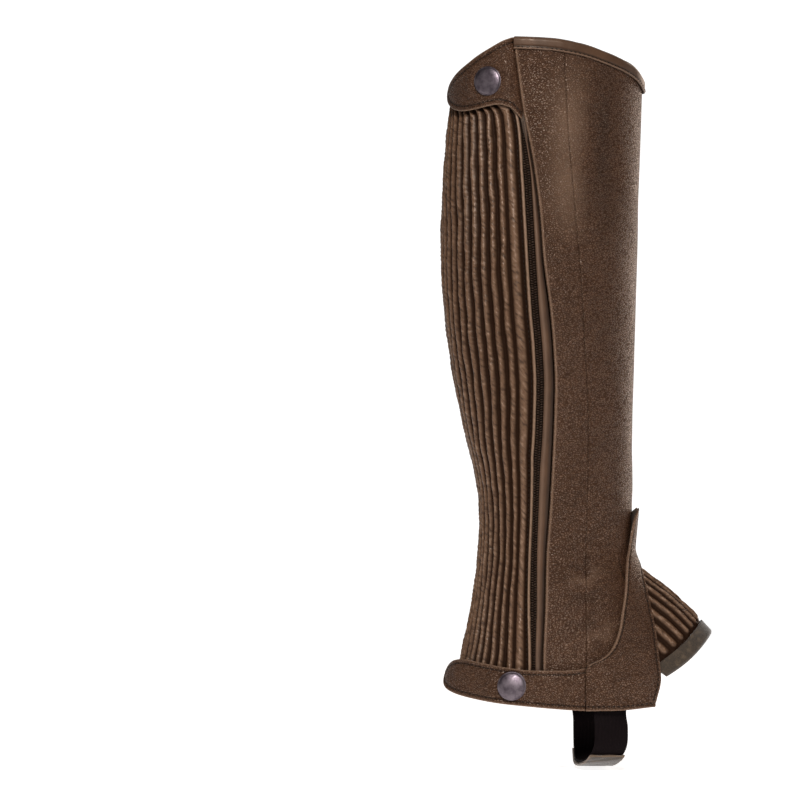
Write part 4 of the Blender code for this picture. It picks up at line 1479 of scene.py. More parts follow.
@dataclass
class LegPanel(Sheet):
    """A panel between two seams, given by height, and two edges, given by angle."""

    out: float = 0.0
    from_seam: Callable = front_seam
    to_seam: Callable = side_edge
    bottom: Callable = panel_bottom
    top: Callable = panel_top

    def folded(self, u: Array, v: Array) -> Array:
        """How deep a crease lies at each place, below 0 on a ridge."""
        return crease_depth(*self.spots(u, v))

    def spots(self, u: Array, v: Array) -> tuple[Array, Array]:
        """The angles and heights of a grid of shares."""
        height = mix(*FIRST_HEIGHTS, v)
        for _ in range(SETTLE_ROUNDS):
            angle = mix(self.from_seam(height), self.to_seam(height), u)
            height = mix(self.bottom(angle), self.top(angle), v)
        return angle, height

    def base(self, u: Array, v: Array) -> tuple[Array, Array]:
        """Where the panel lies."""
        angle, height = self.spots(u, v)
        return on_leg(angle, height, self.out + uneven(angle, height)), leg_normal(angle, height)


EVEN_RUN = 150.0  # the front panel's lines are even again this far above the opening


def opening_height(angle: Array) -> Array:
    """Height of the instep's cut edge at angles near the shin."""
    heights = np.linspace(OPENING_FOOT, INSTEP_APEX, 60)
    angles = instep_angle(heights, OPENING_LAP)
    falling = np.minimum.accumulate(angles)
    return np.interp(-np.abs(angle), -falling, heights)


def front_panel_bottom(angle: Array) -> Array:
    """The front panel's lower edge, cut away over the instep."""
    corner = float(instep_angle(OPENING_FOOT, OPENING_LAP))
    return np.where(np.abs(angle) < corner, opening_height(angle), panel_bottom(angle))


@dataclass
class FrontPanel(LegPanel):
    """One cut of leather from the outer front seam round the shin to the inner seam."""

    opening: tuple[float, float] = (0.40, 0.86)  # shares of the width over the instep's opening
    settle_rounds: int = 40

    def spots(self, u: Array, v: Array) -> tuple[Array, Array]:
        """The angles and heights of a grid of shares, bunched towards the opening at its foot."""
        corner = float(instep_angle(OPENING_FOOT, OPENING_LAP))
        start, end = self.opening
        height = mix(*FIRST_HEIGHTS, v)
        for _ in range(self.settle_rounds):
            inner, outer = inner_seam(height), front_seam(height)
            even = mix(inner, outer, u)
            over_instep = mix(-corner, corner, (u - start) / (end - start))
            beyond = mix(corner, outer, (u - end) / (1.0 - end))
            low = np.where(u < end, over_instep, beyond)
            low = np.where(u < start, mix(inner, -corner, u / start), low)
            angle = mix(low, even, ease((height - INSTEP_APEX) / EVEN_RUN))
            height = mix(self.bottom(angle), self.top(angle), v)
        return angle, height


@dataclass
class CalfPatch(Sheet):
    """The grip patch on the inner side of the calf, with two rows of stitches all round."""

    out: float = 0.85
    inner_row: float = 7.6

    def base(self, u: Array, v: Array) -> tuple[Array, Array]:
        """Where the patch lies, with its rows bunched at its rounded ends."""
        rear, front = Course(CALF_PATCH, "rear"), Course(CALF_PATCH, "front")
        share = 0.5 - 0.5 * np.cos(v * math.pi)
        height = mix(CALF_PATCH[0].height, CALF_PATCH[-1].height, mix(v, share, 0.8))
        angle = -mix(side_angle(rear(height), height), side_angle(front(height), height), u)
        out = self.out + self.thickness + uneven(angle, height)
        return on_leg(angle, height, out), leg_normal(angle, height)

    def edges(self, points: Array) -> list[tuple[Edge, Array]]:
        """One edge, all round."""
        return [(self.first, outline_distance(points, grid_outline(points)))]

    def own_relief(self, u: Array, v: Array, points: Array) -> Array:
        """The second row's trough, and a slight pad between the rows."""
        distance = outline_distance(points, grid_outline(points))
        trough = TROUGH_DEPTH * bell(distance - self.inner_row, TROUGH_WIDTH)
        rows_at = (self.inner_row, self.first.stitch)
        # painted shade along both stitch rows' troughs
        self.layers["painted_shade"] = np.maximum(*(0.6 * bell(distance - row, 0.5) for row in rows_at))
        return 0.22 * bell(distance - self.inner_row / 2 - 1.0, 2.2) - trough

    def sew(self, edges: list[tuple[Edge, Array]]) -> bpy.types.Object | None:
        """Sew both rows round the patch."""
        book = StitchBook(f"{self.name}_stitches")
        for inset in (self.first.stitch, self.inner_row):
            sew_round(book, self, grid_outline(self.points), inset, closed=True)
        return book.make()


def grid_outline(points: Array, open_first: bool = False) -> Array:
    """The points round a grid's rim, in order.

    Args:
        points: The grid's points, [u, v, xyz].
        open_first: Leave out the first edge, so the line starts and ends there.

    Returns:
        The line of points, closed unless the first edge is left out.
    """
    parts = [points[:, 0], points[-1, 1:], points[-2::-1, -1]]
    if not open_first:
        parts.append(points[0, -2::-1])
    return np.concatenate(parts)


CLEAR_SHARE = 0.96  # a row's point this share of the inset away from the whole rim is kept


def nearest(points: Array, places: Array) -> list[int]:
    """For each place, which of a grid's points is nearest, counted along the flattened grid."""
    flat = points.reshape(-1, 3)
    return [int(np.argmin(np.sum((flat - place) ** 2, axis=1))) for place in places]


def inset_line(
    points: Array, facing: Array, outline: Array, inset: float
) -> Array:
    """A line inside an outline, at an even distance from it.

    Args:
        points: The piece's grid.
        facing: Directions out of the plain piece.
        outline: The line round its rim, in order.
        inset: Distance inside the rim.

    Returns:
        The line's points on the piece.
    """
    near = nearest(points, outline)
    inward = unit(np.cross(facing.reshape(-1, 3)[near], np.gradient(outline, axis=0)))
    middle = points[points.shape[0] // 2, points.shape[1] // 2]
    lowest = int(np.argmin(np.linalg.norm(outline - points[points.shape[0] // 2, 0], axis=1)))
    if (middle - outline[lowest]) @ inward[lowest] < 0.0:
        inward = -inward
    line = outline + inward * inset
    return line[outline_distance(line[:, None], outline)[:, 0] > inset * CLEAR_SHARE]


def sew_round(
    book: StitchBook, sheet: Sheet, outline: Array, inset: float, closed: bool
) -> None:
    """Sew a row inside a piece's outline.

    Args:
        book: Collects the stitches.
        sheet: The piece, already laid.
        outline: The line round its rim.
        inset: The row's distance from it.
        closed: Whether the row closes on itself.
    """
    line = inset_line(sheet.points, sheet.facing, outline, inset)
    if closed:
        line = np.concatenate((line, line[:1]))
    near = nearest(sheet.points, line)
    out = sheet.normals.reshape(-1, 3)[near]
    drop = np.sum((line - sheet.points.reshape(-1, 3)[near]) * out, axis=1)
    book.sew(line - out * drop[:, None], out)


@dataclass
class RibPanel(LegPanel):
    """The ribbed stretch panel, from the zip round the calf to the inner seam.

    From the zip it has a folded edge, a stitched trough, one broad rib and then the even ribs.
    """

    ribs: int = 16
    crest: float = 0.85
    valley: float = -1.5
    pucker: float = 0.20
    pucker_pitch: float = 3.3
    fold: float = 1.5  # width of the folded edge
    broad_start: float = 3.9
    broad_end: float = 10.3

    def lines(self) -> tuple[Array, Array]:
        """Lines close enough for the ribs' round backs and the puckers."""
        near = grid_lines(self.width, 0.75)
        strip = near[near < self.broad_end / self.width]
        across = np.linspace(strip[-1], 1.0, self.ribs * 10 + 1)
        return np.concatenate((strip[:-1], across)), grid_lines(self.length, 0.9)

    def rib_phase(self, across: Array) -> Array:
        """The rib that each place is on, counted from the zip, with its share across that rib."""
        broad = (across - self.broad_start) / (self.broad_end - self.broad_start)
        even = 1.0 + (across - self.broad_end) / (self.width - self.broad_end) * self.ribs
        return np.where(across < self.broad_end, np.clip(broad, 0.0, 1.0), even)

    def own_relief(self, u: Array, v: Array, points: Array) -> Array:
        """Ribs with slanting puckers, and the folded edge along the zip."""
        across, climb = u * self.width, v * self.length
        phase = self.rib_phase(across)
        sway = 0.07 * wander(climb / 26.0, 0.3) + 0.05 * wander(climb / 9.0 + phase, 0.8)
        phase = phase + sway * np.clip((phase - 1.0) * 3.0, 0.0, 1.0)
        rib, share = np.floor(phase), phase - np.floor(phase)
        bow = np.clip(np.sin(math.pi * share), 0.0, 1.0)
        shape = np.where(rib < 1.0, bow**0.8, bow**2.0)
        swing = wander(climb / self.pucker_pitch * 0.4, 0.7 + rib * 0.37)
        turn = climb / self.pucker_pitch - share * 1.3
        beat = np.sin(2.0 * math.pi * turn + rib * 2.4 + 2.6 * swing)
        strength = 0.55 + 0.45 * wander(climb / 13.0, rib * 0.83 + 0.2)
        fullness = 1.0 + 0.16 * wander(climb / 17.0, rib * 0.61) + 0.07 * wander(climb / 5.0, rib)
        ends = ease(climb / 9.0) * ease((self.length - climb) / 10.0)
        lift = mix(self.valley, self.crest, shape * fullness) + self.pucker * beat * bow * strength
        raised = mix(0.0, lift, ease((across - self.fold) / 1.0))
        # the crest layer darkens the rib valleys with painted shade in the finish
        self.layers["crest"] = mix(0.75, shape, ease((across - self.fold) / 0.8))
        return raised * ends


@dataclass
class SidePanel(LegPanel):
    """The outer side, from the front seam back to its turned edge along the zip."""


# ---- The zip: tape, teeth, leather bead and slider ----

INNER_FACE = -2.0
SEAM_GAP = 0.3  # between two pieces that meet at a seam


def zip_line(height):
    """Angle of the zip's middle, between the ribs and the bead."""
    return mix(rib_edge(height), placket_edge(height), 0.5)


ZIP_OPENING = 4.4  # width of the zip that shows


def zip_side(height):
    """Angle of the ribbed panel's folded edge along the zip."""
    return np.minimum(rib_edge(height), placket_edge(height) + gap_angle(ZIP_OPENING, height))


@dataclass
class TapeStrip(Sheet):
    """The zip's tape under the leather."""

    foot: float = -270.0
    head: float = 117.0
    wing: float = 8.0

    def lines(self) -> tuple[Array, Array]:
        """A coarse grid."""
        return np.linspace(0.0, 1.0, 13), np.linspace(0.0, 1.0, 120)

    def base(self, u: Array, v: Array) -> tuple[Array, Array]:
        """Where the tape lies."""
        height = mix(self.foot, self.head, v)
        offset = mix(-self.wing, self.wing, u)
        angle = zip_line(height) - gap_angle(offset, height)
        out = INNER_FACE - SEAM_GAP + uneven(angle, height)
        return on_leg(angle, height, out), leg_normal(angle, height)


@dataclass
class ZipTeeth:
    """The closed row of teeth."""

    foot: float = -262.0
    head: float = 103.0
    pitch: float = 1.5
    half: float = 1.05  # from the middle to a tooth's centre
    size: tuple[float, float, float] = (1.3, 0.52, 0.62)
    out: float = -1.35

    def make(self) -> bpy.types.Object:
        """Make the teeth, alternating from side to side.

        Returns:
            The piece.
        """
        count = int((self.head - self.foot) / self.pitch)
        number = np.arange(count * 2)
        side = np.where(number % 2, 1.0, -1.0)
        height = self.foot + (number + 0.5) * self.pitch / 2.0
        middle = placket_edge(height) + gap_angle(ZIP_OPENING / 2.0, height)
        angle = middle - gap_angle(side * self.half, height)
        centres = on_leg(angle, height, self.out + uneven(angle, height))
        outward = leg_normal(angle, height)
        places = []
        for centre, out, lean in zip(centres, outward, side):
            out = Vector(out)
            along = Vector((0.0, 0.0, 1.0)).cross(out).normalized()
            turn = Matrix((along, out.cross(along), out)).transposed().to_4x4()
            tilt = Matrix.Rotation(math.radians(9.0 * lean), 4, "Z")
            size = Matrix.Diagonal((*self.size, 1.0))
            places.append(Matrix.Translation(Vector(centre)) @ turn @ tilt @ size)
        tooth = bmesh.new()
        bmesh.ops.create_uvsphere(tooth, u_segments=8, v_segments=5, radius=1.0)
        return finish_mesh("zip_teeth", stamped(tooth, places), TEETH)


@dataclass
class Placket(LegPanel):
    """The leather-covered bead between the zip and the side panel."""

    rise: float = 1.25
    tuck: float = 6.5  # its end goes down under the top tab over this length

    def lines(self) -> tuple[Array, Array]:
        """Lines close enough for the bead's round back."""
        return 0.5 - 0.5 * np.cos(np.linspace(0.0, math.pi, 19)), grid_lines(self.length, 1.3)

    def own_relief(self, u: Array, v: Array, points: Array) -> Array:
        """A round back, a little gathered along its length."""
        climb = v * self.length
        gather = 0.05 * wander(climb / 3.0, 0.2) + 0.05 * wander(climb / 11.0, 0.9)
        arch = np.sqrt(np.clip(1.0 - (2.0 * u - 1.1) ** 2 / 1.44, 0.0, 1.0))
        # painted shade on the side by the panel's edge, and a painted highlight along the bead's
        # crown
        self.layers["painted_shade"] = 0.8 * ease((0.45 - u) / 0.35)
        self.layers["wear"] = 0.55 * bell(u - 0.74, 0.17)
        under = 1.7 * ease((climb - self.length + self.tuck) / 4.0)
        return -0.9 + (self.rise + 0.75 + gather) * arch - under


@dataclass
class Slider:
    """The zip's slider and its pull, hidden under the top tab."""

    body: tuple[float, float, float] = (7.4, 2.0, 9.0)
    pull: tuple[float, float, float] = (4.6, 1.1, 10.0)
    place: Level = Level(119.6, 110.0)

    def make(self) -> bpy.types.Object:
        """Make the slider with rounded edges, in the place of its solid.

        Returns:
            The piece.
        """
        low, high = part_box("zip_slider")
        centre = Vector(on_leg(*self.place, INNER_FACE + self.body[1] / 2))
        outward = Vector(on_leg(*self.place, 4.0)) - centre
        angle = math.atan2(outward.y, outward.x) + math.pi / 2
        spin = Matrix.Translation(centre) @ Matrix.Rotation(angle, 4, "Z")
        bm = bmesh.new()
        self.block(bm, self.body, 0.0)
        self.block(bm, self.pull, -(self.body[2] + self.pull[2]) / 2 + 0.4)
        bmesh.ops.bevel(
            bm, geom=bm.edges[:], offset=0.45, segments=3, profile=0.5, affect="EDGES", material=-1
        )
        bmesh.ops.transform(bm, matrix=Matrix.Scale(MM, 4) @ spin, verts=bm.verts)
        piece = finish_mesh("zip_slider_body", bm, PEWTER)
        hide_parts("zip_slider")
        log.info("slider spans %.1f mm", (high[2] - low[2]) / MM)
        return piece

    @staticmethod
    def block(bm: bmesh.types.BMesh, size: Sequence[float], lift: float) -> None:
        """Add one block of the slider.

        Args:
            bm: The mesh to add to.
            size: Its width, depth and height.
            lift: How high its centre lies.
        """
        place = Matrix.Translation((0.0, 0.0, lift)) @ Matrix.Diagonal((*size, 1.0))
        bmesh.ops.create_cube(bm, size=1.0, matrix=place)


# ---- Tabs and snaps ----

SNAP_FLAT = 9.2  # a tab lies flat this far round its snap
SNAP_BLEND = 8.0  # and then follows the leg over this distance
CURVE_RADIUS = 52.0
TAB_OVER_ZIP = 2.1
LAY_GAP = 0.85
LEATHER = 1.6


def snap_spread(
    snap: Level, angle: Array, height: Array
) -> tuple[Array, Array]:
    """Distance from a snap's centre, sideways and in all."""
    to_side = (angle - snap.angle) * math.radians(CURVE_RADIUS)
    return to_side, np.hypot(to_side, height - snap.height)


def snap_seat(snap: Level, angle: Array, height: Array) -> Array:
    """How far out a tab's point goes to lie flat round its snap."""
    to_side, distance = snap_spread(snap, angle, height)
    inside = 1.0 - ease((distance - SNAP_FLAT) / SNAP_BLEND)
    return inside * to_side * to_side / (2.0 * CURVE_RADIUS)


@dataclass
class Tab(Sheet):
    """A tab over one end of the zip, sewn at its first edge and rounded at its end."""

    snap: Level = TOP_SNAP
    table: tuple = TOP_TAB
    tuck: float = 0.0  # how far the sewn edge runs on under its neighbour
    tuck_out: float = -2.1

    def outs(self, angle: Array, height: Array, seam: Array) -> Array:
        """How far out the tab's inner face lies."""
        raise NotImplementedError

    def seam_at(self, height: Array) -> Array:
        """The angle of the tab's seam."""
        raise NotImplementedError

    def top_at(self, angle: Array) -> Array:
        """The tab's upper edge."""
        return Course(self.table, "upper")(angle)

    def lines(self) -> tuple[Array, Array]:
        """Lines bunched towards the rounded end."""
        across = grid_lines(self.width, self.step)
        bunched = np.sin(across * math.pi / 2) * 0.35 + across * 0.65
        return bunched, grid_lines(self.length, self.step)

    def base(self, u: Array, v: Array) -> tuple[Array, Array]:
        """Where the tab lies."""
        lower = Course(self.table, "lower")
        end = self.table[-1].angle
        height = np.full(u.shape, mix(self.table[0].lower, self.table[0].upper, 0.5))
        for _ in range(SETTLE_ROUNDS):
            seam = self.seam_at(height)
            angle = mix(seam - gap_angle(self.tuck, height), end, u)
            height = mix(lower(angle), self.top_at(angle), v)
        out = self.outs(angle, height, seam) + self.thickness
        if self.tuck:
            past_seam = (angle - seam) / gap_angle(1.0, height)
            out = mix(self.tuck_out, out, ease((past_seam + 0.35) / 1.1))
        out = out + uneven(angle, height) + snap_seat(self.snap, angle, height)
        distance = snap_spread(self.snap, angle, height)[1]
        dimple = 0.45 * bell(np.maximum(distance - 7.6, 0.0), 2.4)
        return on_leg(angle, height, out - dimple), leg_normal(angle, height)

    def edges(self, points: Array) -> list[tuple[Edge, Array]]:
        """The seam, and one rounded edge from its lower end to its upper end."""
        around = outline_distance(points, grid_outline(points, open_first=True))
        return [(self.first, run_lengths(points, 0)[0]), (self.last, around)]

    def sew(self, edges: list[tuple[Edge, Array]]) -> bpy.types.Object | None:
        """Sew the row round the tab's free edge."""
        book = StitchBook(f"{self.name}_stitches")
        outline = grid_outline(self.points, open_first=True)
        sew_round(book, self, outline, self.last.stitch, closed=False)
        return book.make()


@dataclass
class TopTab(Tab):
    """The tab over the zip's top end."""

    seat: float = -0.9
    rise: float = 5.5

    def seam_at(self, height: Array) -> Array:
        """The angle of the tab's seam."""
        return side_edge(height) + gap_angle(0.35, height)

    def top_at(self, angle: Array) -> Array:
        """The tab's upper edge, level with the binding at its seam."""
        return np.minimum(Course(self.table, "upper")(angle), top_edge(np.minimum(angle, 110.0)))

    def outs(self, angle: Array, height: Array, seam: Array) -> Array:
        """Level with the side panel at the seam, then out over the zip."""
        return mix(self.seat, TAB_OVER_ZIP, ease((angle - seam) / self.rise))


@dataclass
class AnkleTab(Tab):
    """The tab over the zip's foot, sewn to the outer flap."""

    seam_place: float = 25.6
    heel_off: float = 3.2

    def seam_at(self, height: Array) -> Array:
        """The angle of the tab's seam."""
        return side_angle(self.seam_place, height)

    def outs(self, angle: Array, height: Array, seam: Array) -> Array:
        """Close to the leather at the seam, over the zip, and off the heel at its end."""
        over = mix(LAY_GAP, TAB_OVER_ZIP, ease((angle - seam) / 16.0))
        return over + self.heel_off * ease((angle - 135.0) / 40.0)


@dataclass
class Snap:
    """A snap's domed cap on its rolled ring."""

    name: str
    node: str
    place: Level
    radius: float = 8.8
    rim: float = 0.85
    crown: float = 2.75
    lean: float = 9.0  # degrees that the cap leans towards the shin
    seat: float = TAB_OVER_ZIP + LEATHER + SEAM_GAP

    def profile(self) -> list[tuple[float, float]]:
        """The cap's outline from its centre to its foot, as radius and height."""
        rise = self.crown - self.rim
        dome = [
            (self.radius * 0.93 * math.sin(turn), self.rim + rise * math.cos(turn))
            for turn in np.linspace(0.0, math.radians(80.0), 18)
        ]
        roll = [
            (self.radius - 0.62 + 0.62 * math.sin(turn), 0.55 + 0.55 * math.cos(turn))
            for turn in np.linspace(math.radians(-30.0), math.radians(180.0), 12)
        ]
        return dome + roll + [(self.radius - 1.4, 0.0)]

    def make(self) -> bpy.types.Object:
        """Spin the cap and put it on its tab.

        Returns:
            The piece.
        """
        bm = bmesh.new()
        line = [bm.verts.new((radius, 0.0, height)) for radius, height in self.profile()]
        edges = [bm.edges.new(pair) for pair in zip(line, line[1:])]
        bmesh.ops.spin(
            bm, geom=line + edges, axis=(0, 0, 1), cent=(0, 0, 0), angle=2 * math.pi, steps=72,
            use_merge=True,
        )
        bmesh.ops.remove_doubles(bm, verts=bm.verts, dist=0.001)
        bottom = [edge for edge in bm.edges if edge.is_boundary]
        bmesh.ops.contextual_create(bm, geom=bottom)
        bmesh.ops.recalc_face_normals(bm, faces=bm.faces)
        angle, height = self.place
        seat = self.seat + float(uneven(np.float64(angle), np.float64(height))) - 0.25
        centre = Vector(on_leg(angle, height, seat))
        outward = Vector(on_leg(angle, height, seat + 1.0)) - centre
        turn = outward.to_track_quat("Z", "Y").to_matrix().to_4x4()
        turn = Matrix.Rotation(math.radians(self.lean), 4, "Z") @ turn
        matrix = Matrix.Scale(MM, 4) @ Matrix.Translation(centre) @ turn
        bmesh.ops.transform(bm, matrix=matrix, verts=bm.verts)
        piece = finish_mesh(self.name, bm, PEWTER)
        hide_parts(self.node)
        return piece


# ---- Instep flaps and gusset ----

FLAP_LIFT_START = -195.0
FLAP_LIFT_RUN = 34.0
FLAP_TIP_LIFT = 1.4
FLAP_GAP = 1.15


def flap_out(height):
    """How far out the inner face of the instep flaps lies."""
    return FLAP_GAP + FLAP_TIP_LIFT * ease((height - FLAP_LIFT_START) / FLAP_LIFT_RUN)


class Side(Enum):
    """A side of the leg, by the sign of its angles."""

    OUTER = 1.0
    INNER = -1.0


FAR_AWAY = 50.0  # an edge moved this far off has no effect


@dataclass
class Flap(Sheet):
    """An instep flap, a tongue at the shin that widens to the hem."""

    side: Side = Side.OUTER
    foot: float = -281.0
    sewn_below: float = -400.0  # below this height the rear edge is a seam

    def edges(self, points: Array) -> list[tuple[Edge, Array]]:
        """The flap's edges, its rear one turned above the tab's seam and rolled in along it."""
        first, last, lower, upper = super().edges(points)
        free = ease((points[..., 2] - self.sewn_below + 1.0) / 2.0)
        turned = (last[0], last[1] + FAR_AWAY * (1.0 - free))
        sewn = (Edge(EdgeForm.SEAM), last[1] + FAR_AWAY * free)
        return [first, turned, lower, upper, sewn]

    def rows(self, v: Array) -> Array:
        """Heights along the flap, close together where its rear edge turns."""
        heights = np.array([row.height for row in FLAP_ROWS if row.height > self.foot + 3.0])
        heights = np.concatenate(([self.foot], heights))
        share = np.linspace(0.0, 1.0, len(heights))
        return np.interp(v, share, heights)

    def lines(self) -> tuple[Array, Array]:
        """A fine grid, with its rows even along the flap's table."""
        rows = np.linspace(0.0, 1.0, 170)
        near = np.array((0.0, 0.0008, 0.002, 0.0036))
        return grid_lines(self.width, self.step), np.unique(np.concatenate((near, rows)))

    def base(self, u: Array, v: Array) -> tuple[Array, Array]:
        """Where the flap lies."""
        rear = Course(FLAP_ROWS, "outer_rear" if self.side is Side.OUTER else "inner_rear")
        height = self.rows(v)
        front_angle = np.maximum(instep_angle(height), gap_angle(SEAM_GAP / 2, height))
        angle = mix(front_angle, side_angle(rear(height), height), u)
        if self.side is Side.OUTER:
            drop = ease((-257.0 - height) / (-257.0 - self.foot))
            height = height + drop * mix(1.0, -0.6, ease((angle - 40.0) / 25.0))
        angle = angle * self.side.value
        out = flap_out(height) + self.thickness + uneven(angle, height)
        return on_leg(angle, height, out), leg_normal(angle, height)


RIDGE_END = np.array((103.4, 0.0, -237.8))
GUSSET_FOOT = np.array((73.6, 0.0, -263.6))
TOE_BULGE = 2.2
GUSSET_SEAM_LOW = -262.0
GUSSET_HALF_WIDTH = 22.0
GUSSET_TURN = 86.0
BAND_END_GAP = 3.2
GUSSET_BOW = 2.2
GUSSET_WALL = 1.2  # the gusset's thickness
GUSSET_BAND_DEPTH = 10.0


def instep_seam(turn: Array) -> Array:
    """Points of the gusset's sewn edge: 0 degrees is the apex and 90 the outer foot."""
    drop = 1.0 - np.cos(np.radians(turn))
    height = mix(INSTEP_APEX - 1.5, GUSSET_SEAM_LOW, drop)
    return on_leg(np.copysign(instep_angle(height), turn), height, -LEATHER)


def gusset_toe(turn: Array) -> Array:
    """Points of the gusset's free edge over the foot."""
    across, down = np.sin(np.radians(turn)), 1.0 - np.cos(np.radians(turn))
    slope = unit(RIDGE_END - GUSSET_FOOT)
    bow = np.array((-slope[2], 0.0, slope[0])) * -TOE_BULGE
    point = mix(RIDGE_END, GUSSET_FOOT, down[..., None]) + bow * np.sin(math.pi * down)[..., None]
    return point + np.stack([0.0 * across, -GUSSET_HALF_WIDTH * across, 0.0 * across], axis=-1)


def gusset_surface(turn: Array, back: Array) -> Array:
    """Points of the gusset's inner face, a distance back from its free edge along a rib."""
    seam, toe = instep_seam(turn), gusset_toe(turn)
    share = back / np.linalg.norm(seam - toe, axis=-1)
    ridge = unit(RIDGE_END - instep_seam(np.zeros(1))[0])
    up = np.array((-ridge[2], 0.0, ridge[0]))
    bow = GUSSET_BOW * np.sin(math.pi * share) * np.cos(np.radians(turn))
    return mix(toe, seam, share[..., None]) + up * bow[..., None]


def gusset_out(turn: Array, back: Array) -> Array:
    """Directions straight out of the gusset."""
    along_t = gusset_surface(turn + 0.5, back) - gusset_surface(turn - 0.5, back)
    along_b = gusset_surface(turn, back + 0.5) - gusset_surface(turn, back - 0.5)
    return unit(np.cross(along_b, along_t))


def rib_length(turn: Array) -> Array:
    """Length of the gusset along a rib, from its free edge to its seam."""
    return np.linalg.norm(instep_seam(turn) - gusset_toe(turn), axis=-1)


def band_depth(turn: Array) -> Array:
    """Depth of the band on the gusset's free edge, cut short by the seam at its ends."""
    return np.minimum(GUSSET_BAND_DEPTH, rib_length(turn) - BAND_END_GAP)


@dataclass
class Gusset(Sheet):
    """The ribbed gusset over the instep."""

    ribs: int = 17
    crest: float = 1.7

    def lines(self) -> tuple[Array, Array]:
        """Ten lines to a rib."""
        return np.linspace(0.0, 1.0, self.ribs * 10 + 1), np.linspace(0.0, 1.0, 90)

    def base(self, u: Array, v: Array) -> tuple[Array, Array]:
        """Where the gusset lies."""
        turn = mix(-GUSSET_TURN, GUSSET_TURN, u)
        back = mix(BINDING_WALL + SEAM_GAP, rib_length(turn) - SEAM_GAP, v)
        out = gusset_out(turn, back)
        return gusset_surface(turn, back) + out * GUSSET_WALL, out

    def own_relief(self, u: Array, v: Array, points: Array) -> Array:
        """Ribs that run out flat under the band and at the seam."""
        turn = mix(-GUSSET_TURN, GUSSET_TURN, u)
        length = rib_length(turn)
        back = mix(BINDING_WALL + SEAM_GAP, length - SEAM_GAP, v)
        depth = band_depth(turn)
        phase = u * self.ribs + 0.04 * wander(back / 9.0, 0.4)
        rib, across = np.floor(phase), phase - np.floor(phase)
        shape = np.sin(math.pi * across) ** 2.0
        full = self.crest * ease((length - depth - 3.0) / 9.0)
        ends = ease((back - depth - 0.3) / 4.0) * ease((length - back) / 4.5)
        flutter = 1.0 + 0.16 * wander(back / 6.0, rib * 0.7)
        pucker = 0.10 * wander(back / 1.7, rib) * shape
        # the crest layer darkens the rib valleys with painted shade in the finish
        self.layers["crest"] = np.clip(shape * ends, 0.12, 1.0)
        return (full * flutter * shape + pucker) * ends - 0.2 * (1.0 - shape) * ends


def folded_strip(v: Array, depth: Array | float, low: float, high: float):
    """The section of a strip folded round an edge, from inside to outside.

    Args:
        v: Shares along the section.
        depth: How far the strip reaches back from the edge.
        low: Distance out of its face on the inside.
        high: Distance out of its face on the outside.

    Returns:
        The distance back from the edge, the distance out, and how far the strip has turned.
    """
    radius = (high - low) / 2.0
    flat = depth - radius
    arc = math.pi * radius
    along = v * (2.0 * flat + arc)
    bend = np.clip((along - flat) / arc, 0.0, 1.0) * math.pi
    out = (low + high) / 2.0 - radius * np.cos(bend)
    outer = radius + along - flat - arc
    back = np.where(along > flat + arc, outer, radius - radius * np.sin(bend))
    return np.where(along < flat, depth - along, back), out, bend


@dataclass
class GussetBand(Sheet):
    """The folded band on the gusset's free edge. Its fine stitch row at the inner side is not sewn
    here.
    """

    def lines(self) -> tuple[Array, Array]:
        """Lines along the band, and round its section."""
        return grid_lines(self.width, 1.2), np.linspace(0.0, 1.0, 47)

    def base(self, u: Array, v: Array) -> tuple[Array, Array]:
        """Round the free edge, from inside the gusset to outside it."""
        turn = mix(-GUSSET_TURN, GUSSET_TURN, u)
        low, high = -FOLD_GAP - BINDING_WALL, GUSSET_WALL + FOLD_GAP + BINDING_WALL
        back, out, bend = folded_strip(v, band_depth(turn), low, high)
        normal = gusset_out(turn, back)
        toe = unit(gusset_toe(turn) - instep_seam(turn))
        facing = normal * -np.cos(bend)[..., None] + toe * np.sin(bend)[..., None]
        return gusset_surface(turn, back) + normal * out[..., None], facing


# ---- Bindings ----


